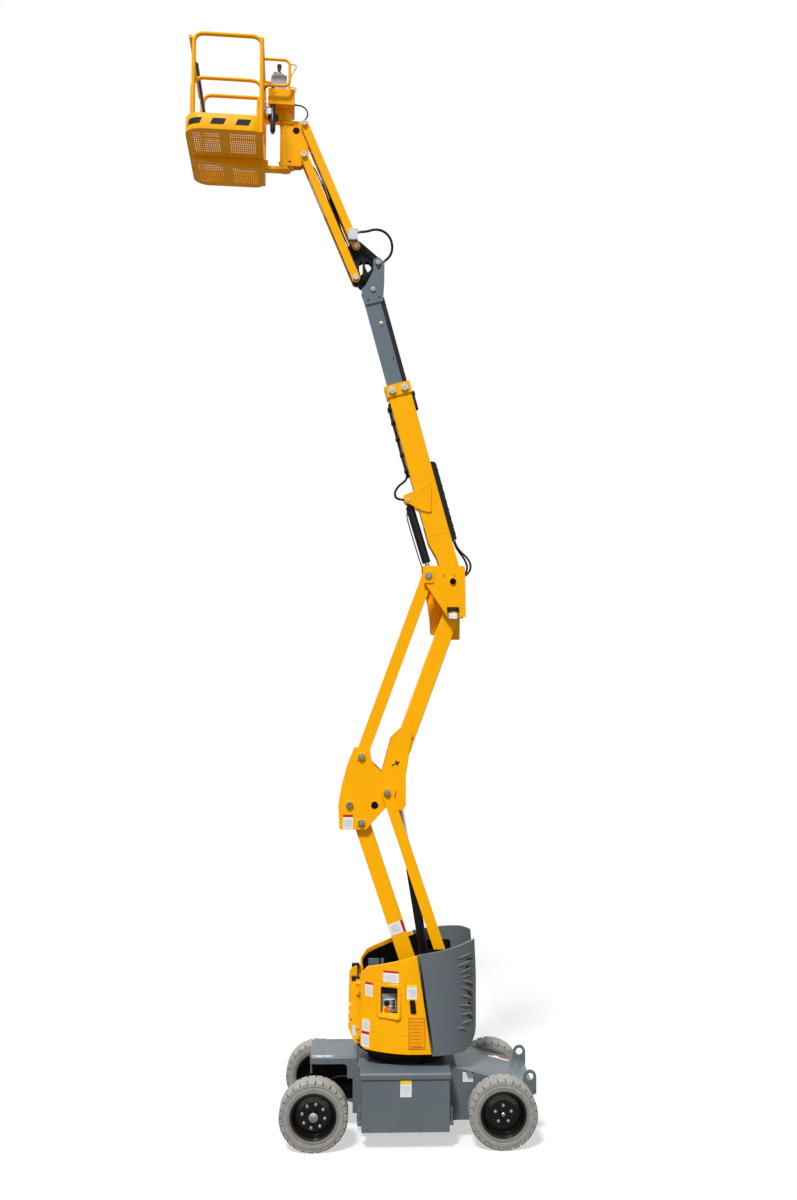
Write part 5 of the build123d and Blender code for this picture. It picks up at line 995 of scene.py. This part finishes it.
# ---------------------------------------------------------------- turret
COVER_ARC = arc_through((-0.004, 0.465), (0.2225, 0.394), (0.404, 0.268), 14)
LOUVRE_ARC = arc_through((-0.2005, 0.4655), (-0.4530, 0.3780), (-0.6145, 0.1010), 24)
TAIL_ARC = arc_through((-0.2, 0.49), (-0.47, 0.395), (-0.632, 0.11), 40)
WINDOW = (0.085, 0.262)         # from x to x of the opening in the left cover
WINDOW_LAP = 0.03               # how far the strips of the painted-shade sheet lap over the opening's sides
# where the black sheets of painted shade inside the covers stand, how low they reach and how thick they are
SHADE_SHEET_SIDE, SHADE_SHEET_FOOT, SHADE_SHEET_THICK = 0.465, 0.815, 0.0015
BESIDE_COVER = 0.50             # where what is pressed on a cover starts from


def shade_sheet_top(x):
    """Height of the painted-shade sheet under the cover's top edge, over a plan point."""
    if x > 0.365:
        return 1.474 - (x - 0.365) * 1.3
    return 1.604 - (x + 0.070) * 0.130 / 0.435


def turret_insides():
    """Black sheets of painted shade inside both covers, grey backing behind the louvres, and the nose's side
    returns.
    """
    for side, sign in SIDES:
        feet = [Vector((-0.165 + step * 0.02, sign * SHADE_SHEET_SIDE)) for step in range(8)]
        feet += [Vector((place.x, sign * place.y)) for place in COVER_ARC]
        shape = bmesh.new()
        if side == "left":
            rear, front = WINDOW
            strips = ((-math.inf, rear + WINDOW_LAP, SHADE_SHEET_FOOT, shade_sheet_top),
                      (rear - WINDOW_LAP, front + WINDOW_LAP, 1.375, shade_sheet_top),
                      (rear - WINDOW_LAP, front + WINDOW_LAP, SHADE_SHEET_FOOT, lambda x: 1.105),
                      (front - WINDOW_LAP, math.inf, SHADE_SHEET_FOOT, shade_sheet_top))
        else:
            strips = ((-math.inf, math.inf, SHADE_SHEET_FOOT, shade_sheet_top),)
        for start, end, low, high in strips:
            sheet_strip(shape, [foot for foot in feet if start <= foot.x <= end], low, high,
                        -sign * SHADE_SHEET_THICK)
        # black sheet painted as the shade in the cover's hollow inside
        keep(shape, f"cover_shade_{side}", f"door_{side}", "black_plastic", shade_black)

        shape = bmesh.new()
        backing = [Vector((place.x, sign * place.y)) for place in LOUVRE_ARC if abs(place.y) < 0.435]
        sheet_strip(shape, backing, 1.095, lambda x: 1.600, sign * 1.2 * MM)
        keep(shape, f"louvre_backing_{side}", "turret", "grey_paint", machine_grey)

        shape = bmesh.new()
        block(shape, Vector((0.4285, sign * 0.250, 1.0975)), FORWARD * -sign, UP, 60, 560, 3, radius=3)
        keep(shape, f"nose_return_{side}", "turret", "cover_plastic", cover_yellow)

    # frame members seen over the covers' edge
    shape = bmesh.new()
    for x, z, width, height in ((0.30, 1.28, 100, 340), (0.22, 1.22, 30, 460)):
        block(shape, Vector((x, -0.205, z)), -FORWARD, UP, width, height, 12, radius=3)
    keep(shape, "inner_guard", "turret", "grey_paint", machine_grey)


# x and z of the start and the end of the tail's upper bars, and of the ribs that fan out from its foot
TAIL_BARS = ((-0.418, 1.596, -0.575, 1.620), (-0.425, 1.530, -0.585, 1.554), (-0.450, 1.468, -0.590, 1.492))
TAIL_RIBS = ((-0.575, 1.410, -0.480, 1.425), (-0.590, 1.330, -0.470, 1.395), (-0.594, 1.260, -0.462, 1.345),
             (-0.596, 1.190, -0.458, 1.270), (-0.598, 1.125, -0.455, 1.185), (-0.594, 1.065, -0.458, 1.100),
             (-0.585, 1.010, -0.470, 1.020), (-0.520, 0.960, -0.440, 0.985))
SEAM = ((-0.091, 1.628), (-0.150, 1.215), (-0.216, 0.800))     # between cover and counterweight
COVER_CREASES = (((0.330, 1.402), (0.180, 1.402), (0.030, 1.402)), ((0.028, 1.400), (0.030, 1.220)),
                 ((0.400, 0.958), (0.250, 0.958), (0.100, 0.958), (-0.140, 0.958)))


def turret_ridges():
    """The tail's moulded bars and ribs, and the covers' pressed creases."""
    for side, sign in SIDES:
        def on_tail(x, z):
            """A place just off the tail's rounded corner."""
            spot = min(TAIL_ARC, key=lambda place: abs(place.x - x))
            return Vector((spot.x, sign * spot.y, z))

        tail = surface_of("counterweight")
        shape = bmesh.new()
        inward = Vector((0.62, -sign * 0.78, 0)).normalized()
        for rows, rise, width, height in ((TAIL_BARS, 0.0, 20, 8.5), (TAIL_RIBS, 0.012, 24, 9.5)):
            for start_x, start_z, end_x, end_z in rows:
                middle_x, middle_z = (start_x + end_x) / 2, (start_z + end_z) / 2 + rise
                ridge(shape, tail, inward, [on_tail(start_x, start_z), on_tail(middle_x, middle_z),
                                            on_tail(end_x, end_z)], width, height)
        keep(shape, f"tail_ridges_{side}", "turret", "grey_paint", machine_grey, smooth=60)

        shape = bmesh.new()
        for places in COVER_CREASES:
            ridge(shape, surface_of(f"cover_{side}"), LEFT * -sign,
                  [Vector((x, sign * BESIDE_COVER, z)) for x, z in places], 7, 1.8)
        keep(shape, f"cover_creases_{side}", f"door_{side}", "cover_plastic", cover_yellow, smooth=60)


PANEL = Vector((0.172, 0.0, 1.242))     # middle of the ground controls' opening
OPENING_WIDTH, OPENING_HEIGHT, PANEL_FACE = 0.146, 0.232, 0.372
# the bezel's section: how far outside the opening, how proud of the cover, how far behind it
BEZEL = ((0.034, 0.000, 0.0), (0.026, 0.0075, 0.0), (0.006, 0.0075, 0.0), (-0.001, 0.001, 0.0),
         (-0.001, 0.0, 0.050))
SILL_BELOW = -0.10


def turret_outside():
    """The control opening's bezel, the latches, the nose's brow and black strips of painted shadow along the rear
    seams.
    """
    cover = surface_of("cover_left")
    shape = bmesh.new()
    loops = []
    for beyond, lift, sink in BEZEL:
        loop = []
        for u, v in rounded(OPENING_WIDTH + 2 * beyond, OPENING_HEIGHT + 2 * beyond,
                            12 * MM + max(beyond, 0) * 0.6):
            on_sill = v < SILL_BELOW
            probe = u if abs(u) > 0.082 else math.copysign(0.086, u)
            hit = cover.ray_cast(PANEL + Vector((-probe, 0.6, v)), -LEFT, 0.5)[0]
            wall = hit.y if hit else 0.43
            proud = lift + (0.012 if on_sill and lift > 0 else 0.0) - sink
            drop = 0.010 if on_sill and beyond > 0 else 0.0
            loop.append(shape.verts.new((PANEL.x - u, wall + proud, PANEL.z + v - drop)))
        loops.append(loop)
    ring_skin(shape, loops)
    keep(shape, "control_bezel", "door_left", "cover_plastic", cover_yellow)

    # latch: recessed plate with its lever
    lean = (UP + FORWARD * 0.10).normalized()
    for (side, _), (spot, out, across) in zip(SIDES, both_sides(-0.036, 0.490, 1.201)):
        shape = bmesh.new()
        block(shape, spot, across, lean, 50, 118, 6, radius=12)
        block(shape, spot + UP * 0.018 + out * 0.006, across, lean, 32, 60, 8, radius=8)
        turned(shape, spot - UP * 0.036 + out * 0.006, out, [(12, 0), (12, 4), (5, 5), (0, 4)], segments=20)
        keep(shape, f"cover_latch_{side}", f"door_{side}", "black_plastic", black_abs)

    caps, plates = bmesh.new(), bmesh.new()
    for spot, _, _ in both_sides(0.470, 0.226, 1.366):
        slab(caps, rounded(0.072, 0.044, 0.012), spot, FORWARD, LEFT, 0.034)
    for spot, _, across in both_sides(0.430, 0.2535, 1.330):
        block(plates, spot, across, UP, 34, 58, 2, radius=4)
    keep(caps, "brow_caps", "turret", "black_plastic", black_abs)
    keep(plates, "brow_plates", "turret", "grey_paint", VINYL[GREY])

    # black strip along the seam between cover and counterweight: painted shadow of the cover's edge
    for side, sign in SIDES:
        shape = bmesh.new()
        ridge(shape, surface_of("counterweight"), LEFT * -sign,
              [Vector((x, sign * BESIDE_COVER, z)) for x, z in SEAM], 20, 4)
        keep(shape, f"seam_shadow_strip_{side}", "turret", "black_plastic", black_abs)


def ground_controls():
    """The control panel behind the left cover's opening."""
    def on_panel(x, z, out=0.0):
        return PANEL + Vector((x, PANEL_FACE + out, z))

    def plates(name, materials, rows):
        shape = bmesh.new()
        for x, z, out, width, height, thick, radius, material in rows:
            block(shape, on_panel(x, z, out), -FORWARD, UP, width, height, thick, radius, material)
        keep(shape, name, "turret", "black_plastic", *materials)

    plates("control_face", (panel_grey, black_abs, lens_dark),
           ((0, -0.034, 0, 136, 160, 6, 4, 0), (0, 0.080, 0, 136, 62, 10, 4, 1),
            (0, 0.080, 0.010, 78, 34, 2, 3, 2)))
    shape = bmesh.new()
    turned(shape, on_panel(0.019, -0.038, 0.006), LEFT, [(24, 0), (24, 3), (19, 5), (17, 20), (0, 21)],
           segments=32)
    for z in (-0.016, -0.046, -0.076):
        block(shape, on_panel(-0.042, z, 0.006), -FORWARD, UP, 22, 16, 6)
        turned(shape, on_panel(-0.042, z, 0.012), LEFT + UP * 0.5, [(4, 0), (3, 12), (0, 13)], segments=12)
    keep(shape, "control_knobs", "turret", "black_plastic", black_abs)
    shape = bmesh.new()
    turned(shape, on_panel(0.026, -0.090, 0.008), LEFT,
           [(12, 0), (12, 10), (19, 12), (19, 19), (14, 25), (0, 26)], segments=32)
    keep(shape, "control_stop", "turret", "black_plastic", button_orange)
    plates("control_labels", (VINYL[YELLOW], VINYL[WHITE]),
           ((0.026, -0.090, 0.006, 52, 50, 2, 3, 0), (-0.006, -0.005, 0.006, 90, 10, 1, 1, 1),
            (-0.008, -0.064, 0.006, 20, 16, 1, 1, 1)))


# ---------------------------------------------------------------- blank labels
RED_BAND = ((0.17, RED), (0.83, WHITE))
YELLOW_BAND = ((0.17, YELLOW), (0.83, WHITE))
PLAIN_INK, PLAIN_GREY, PLAIN_WHITE = [((1.0, tint),) for tint in (INK, GREY, WHITE)]
SIDE_LABELS = (
    # body, node, x, y, z, width, height, bands
    ("door_left", "cover_left", 0.157, 0.50, 1.450, 136, 104, RED_BAND),
    ("door_left", "cover_left", 0.350, 0.50, 1.318, 66, 122, RED_BAND),
    ("door_left", "cover_left", -0.027, 0.50, 1.330, 88, 125, YELLOW_BAND),
    ("door_left", "cover_left", 0.374, 0.50, 1.006, 68, 114, YELLOW_BAND),
    ("door_left", "cover_left", 0.380, 0.50, 0.876, 68, 134, RED_BAND),
    ("turret", "turret_nose", 0.480, 0.30, 0.925, 34, 90, PLAIN_GREY),
    ("chassis", "chassis_frame", 0.772, 0.30, 0.581, 90, 88, RED_BAND),
    ("chassis", "chassis_frame", -0.536, 0.40, 0.556, 92, 104, RED_BAND),
    ("chassis", "battery_box_left", 0.026, 0.62, 0.535, 98, 142, ((0.24, YELLOW), (0.76, WHITE))),
    ("knuckle_mid", "mid_knuckle", 0.550, 0.16, 2.765, 90, 130, RED_BAND),
)
DOOR_PLATE = (
    # x and z from the plate's middle, width, height, bands, lift
    (0, 0, 146, 270, PLAIN_INK, 0.9), (0, 0, 138, 262, ((0.09, ORANGE), (0.91, ORANGE)), 1.1),
    (0, 0.101, 138, 3, PLAIN_INK, 1.3),
    *((0.010, 0.074 - 0.030 * step, 92, 3, PLAIN_INK, 1.3) for step in range(7)),
    (0, -0.118, 110, 6, PLAIN_INK, 1.3),
)
ABOVE_DECK = 0.75
DECK_LABELS = (
    # x, y, width, height, bands, lift
    (0.757, 0.205, 190, 44, ((0.2, WHITE), (0.6, GREEN), (0.2, WHITE)), 0.9),
    (0.79, 0.205, 36, 18, PLAIN_WHITE, 1.1), (0.72, 0.205, 36, 18, PLAIN_WHITE, 1.1),
    (-0.880, -0.240, 190, 60, ((0.5, RED), (0.5, WHITE)), 0.9),
    (-0.860, -0.240, 50, 60, PLAIN_WHITE, 1.1),
)


def labels():
    """Blank vinyl labels with their coloured bands, pressed on the surface."""
    made = {}
    for body, node, x, y, z, width, height, bands in SIDE_LABELS:
        shape, target = made.setdefault(body, bmesh.new()), surface_of(node)
        label(shape, target, Vector((x, y, z)), -FORWARD, UP, width, height, bands)
        if bands != PLAIN_GREY:
            # pale printed panel in the white field
            label(shape, target, Vector((x, y, z - height * MM * 0.09)), -FORWARD, UP, width * 0.78,
                  height * 0.56, PLAIN_GREY, lift=1.1)
    cover = surface_of("cover_left")
    for x, z, width, height, bands, lift in DOOR_PLATE:
        spot = Vector((-0.072 + x, BESIDE_COVER, 0.968 + z))
        label(made["door_left"], cover, spot, -FORWARD, UP, width, height, bands, lift)
    deck = surface_of("chassis_frame")
    for x, y, width, height, bands, lift in DECK_LABELS:
        label(made["chassis"], deck, Vector((x, y, ABOVE_DECK)), -FORWARD, -LEFT, width, height, bands, lift)
    arm = made.setdefault("arm_lower", bmesh.new())
    skin = surface_of("lower_arm")
    angle = math.radians(ARM_ANGLE)
    line = Vector((math.cos(angle), 0, math.sin(angle)))
    aside = Vector((-line.z, 0, line.x))
    tape = along(PIVOT["riser"], ARM_ANGLE, 540.0, 0.0, 100.0)
    label(arm, skin, tape, -line, aside, 108, 142, ((0.16, RED), (0.84, WHITE)))
    label(arm, skin, tape - aside * 0.012, -line, aside, 70, 70, PLAIN_GREY, lift=1.1)
    for body, shape in made.items():
        keep(shape, f"labels_{body}", body, "cover_plastic", *VINYL)


# ---------------------------------------------------------------- chassis
# distances from the middle: the painted-shade sheets in the front arch, a box bracket's foot and face, the box's
# skirt, the bonnet
ARCH_SIDE, BRACKET_FOOT, BRACKET_FACE, SKIRT_FACE, BONNET_SIDE = 0.136, 0.500, 0.550, 0.585, 0.350
STEER_PIPE = ((0.47, 0.19, 0.50), (0.60, 0.19, 0.52), (0.72, 0.17, 0.46), (0.79, 0.16, 0.40))


def chassis_details():
    """Black sheets of painted shade under the front deck, pipes there, box brackets, bolts and seams."""
    shade_sheets, brackets, bolts, seams = bmesh.new(), bmesh.new(), bmesh.new(), bmesh.new()
    skin = surface_of("chassis_frame")
    for _, sign in SIDES:
        out, across = LEFT * sign, FORWARD * -sign
        # black sheets on the spine's sides: painted shade under the deck in the wheel arches
        block(shade_sheets, Vector((0.655, sign * ARCH_SIDE, 0.470)), across, UP, 400, 340, 2, radius=4)
        for x in (0.424, -0.369):
            # folded bracket with two bolts, at each end of the battery box
            block(brackets, Vector((x, sign * BRACKET_FOOT, 0.285)), across, UP, 28, 150, 50, radius=3)
            block(brackets, Vector((x, sign * BRACKET_FOOT, 0.230)), across, UP, 44, 30, 64, radius=3)
            for z in (0.330, 0.295):
                hex_bolt(brackets, Vector((x, sign * BRACKET_FACE, z)), out, 13, 7)
        for x in (-0.30, -0.10, 0.15, 0.36):
            hex_bolt(bolts, Vector((x, sign * SKIRT_FACE, 0.196)), out, 10, 5)
        for x, z in ((-0.600, 0.570), (-0.700, 0.530), (-0.800, 0.490), (-0.470, 0.580)):
            hex_bolt(bolts, Vector((x, sign * BONNET_SIDE, z)), out, 10, 5)
        # bonnet seam and deck fold, pressed in the sheet
        for width, height, places in (
                (10, 2.2, ((-0.580, 0.300, 0.70), (-0.800, 0.300, 0.66), (-1.080, 0.300, 0.60))),
                (8, 1.8, ((0.800, 0.215, 0.72), (0.500, 0.215, 0.72)))):
            ridge(seams, skin, -UP, [Vector((x, sign * y, z)) for x, y, z in places], width, height)
    # black sheet between the arches: painted shade under the deck
    block(shade_sheets, Vector((0.488, 0.0, 0.43)), LEFT, UP, 520, 420, -2, radius=6)
    keep(shade_sheets, "arch_shade_sheets", "chassis", "black_paint", frame_black_and_shade)
    for side, sign in SIDES:
        tube(f"steer_pipe_{side}", "chassis", hose_rubber,
             [Vector((x, sign * y, z)) for x, y, z in STEER_PIPE], 9)
    keep(brackets, "box_brackets", "chassis", "grey_paint", machine_grey)
    keep(bolts, "frame_bolts", "chassis", "box_metal", dull_zinc)
    keep(seams, "sheet_seams", "chassis", "grey_paint", machine_grey, smooth=60)


# ---------------------------------------------------------------- light and floor
def studio():
    """Soft key from above, pale surroundings, and a plain floor that is dark only to bounced light."""
    lamp = bpy.data.lights.new("key", "SUN")
    lamp.energy = 3.4
    lamp.angle = math.radians(9)
    light = placed("key", lamp)
    light.rotation_euler = Vector((0.25, 0.65, 1.0)).to_track_quat("Z", "Y").to_euler()

    def mixed(tree, factor, first, second):
        return add(tree, "ShaderNodeMixShader", {"Fac": factor, 1: first.outputs[0], 2: second.outputs[0]})

    world = bpy.data.worlds.new("studio")
    bpy.context.scene.world = world
    world.use_nodes = True
    tree = world.node_tree
    tree.nodes.clear()
    path = add(tree, "ShaderNodeLightPath").outputs
    seen = path["Is Camera Ray"]
    for ray in ("Is Glossy Ray", "Is Transmission Ray"):
        seen = add(tree, "ShaderNodeMath", {0: seen, 1: path[ray]}, operation="MAXIMUM").outputs[0]
    soft = add(tree, "ShaderNodeBackground", {"Color": linear("#EEF1F5"), "Strength": 0.5})
    white = add(tree, "ShaderNodeBackground", {"Color": (1.0, 1.0, 1.0, 1.0), "Strength": 1.0})
    add(tree, "ShaderNodeOutputWorld", {"Surface": mixed(tree, seen, soft, white).outputs[0]})

    shape = bmesh.new()
    bmesh.ops.create_grid(shape, x_segments=1, y_segments=1, size=60.0)
    floor = baked("floor", shape)
    surface, tree, _ = new_material("pale_studio_floor")
    path = add(tree, "ShaderNodeLightPath").outputs
    bounced = add(tree, "ShaderNodeBsdfDiffuse", {"Color": linear("#88807A")})
    lit = add(tree, "ShaderNodeBsdfDiffuse", {"Color": linear("#F2F2F1")})
    pale = add(tree, "ShaderNodeEmission", {"Color": (1.0, 1.0, 1.0, 1.0), "Strength": 1.0})
    both = mixed(tree, path["Is Camera Ray"], bounced, mixed(tree, 0.55, lit, pale))
    add(tree, "ShaderNodeOutputMaterial", {"Surface": both.outputs[0]})
    floor.data.materials.append(surface)


for build in (camera, hoses, wheels, pins, jib_caps, knuckle_details, boom_details, fly_details, tray_cover,
              bracket_openings, jib_details, turning_drive, guard_rails, platform_floor, platform_details,
              turret_insides, turret_ridges, turret_outside, ground_controls, labels, chassis_details, studio):
    build()
bpy.context.scene.view_settings.view_transform = "Standard"
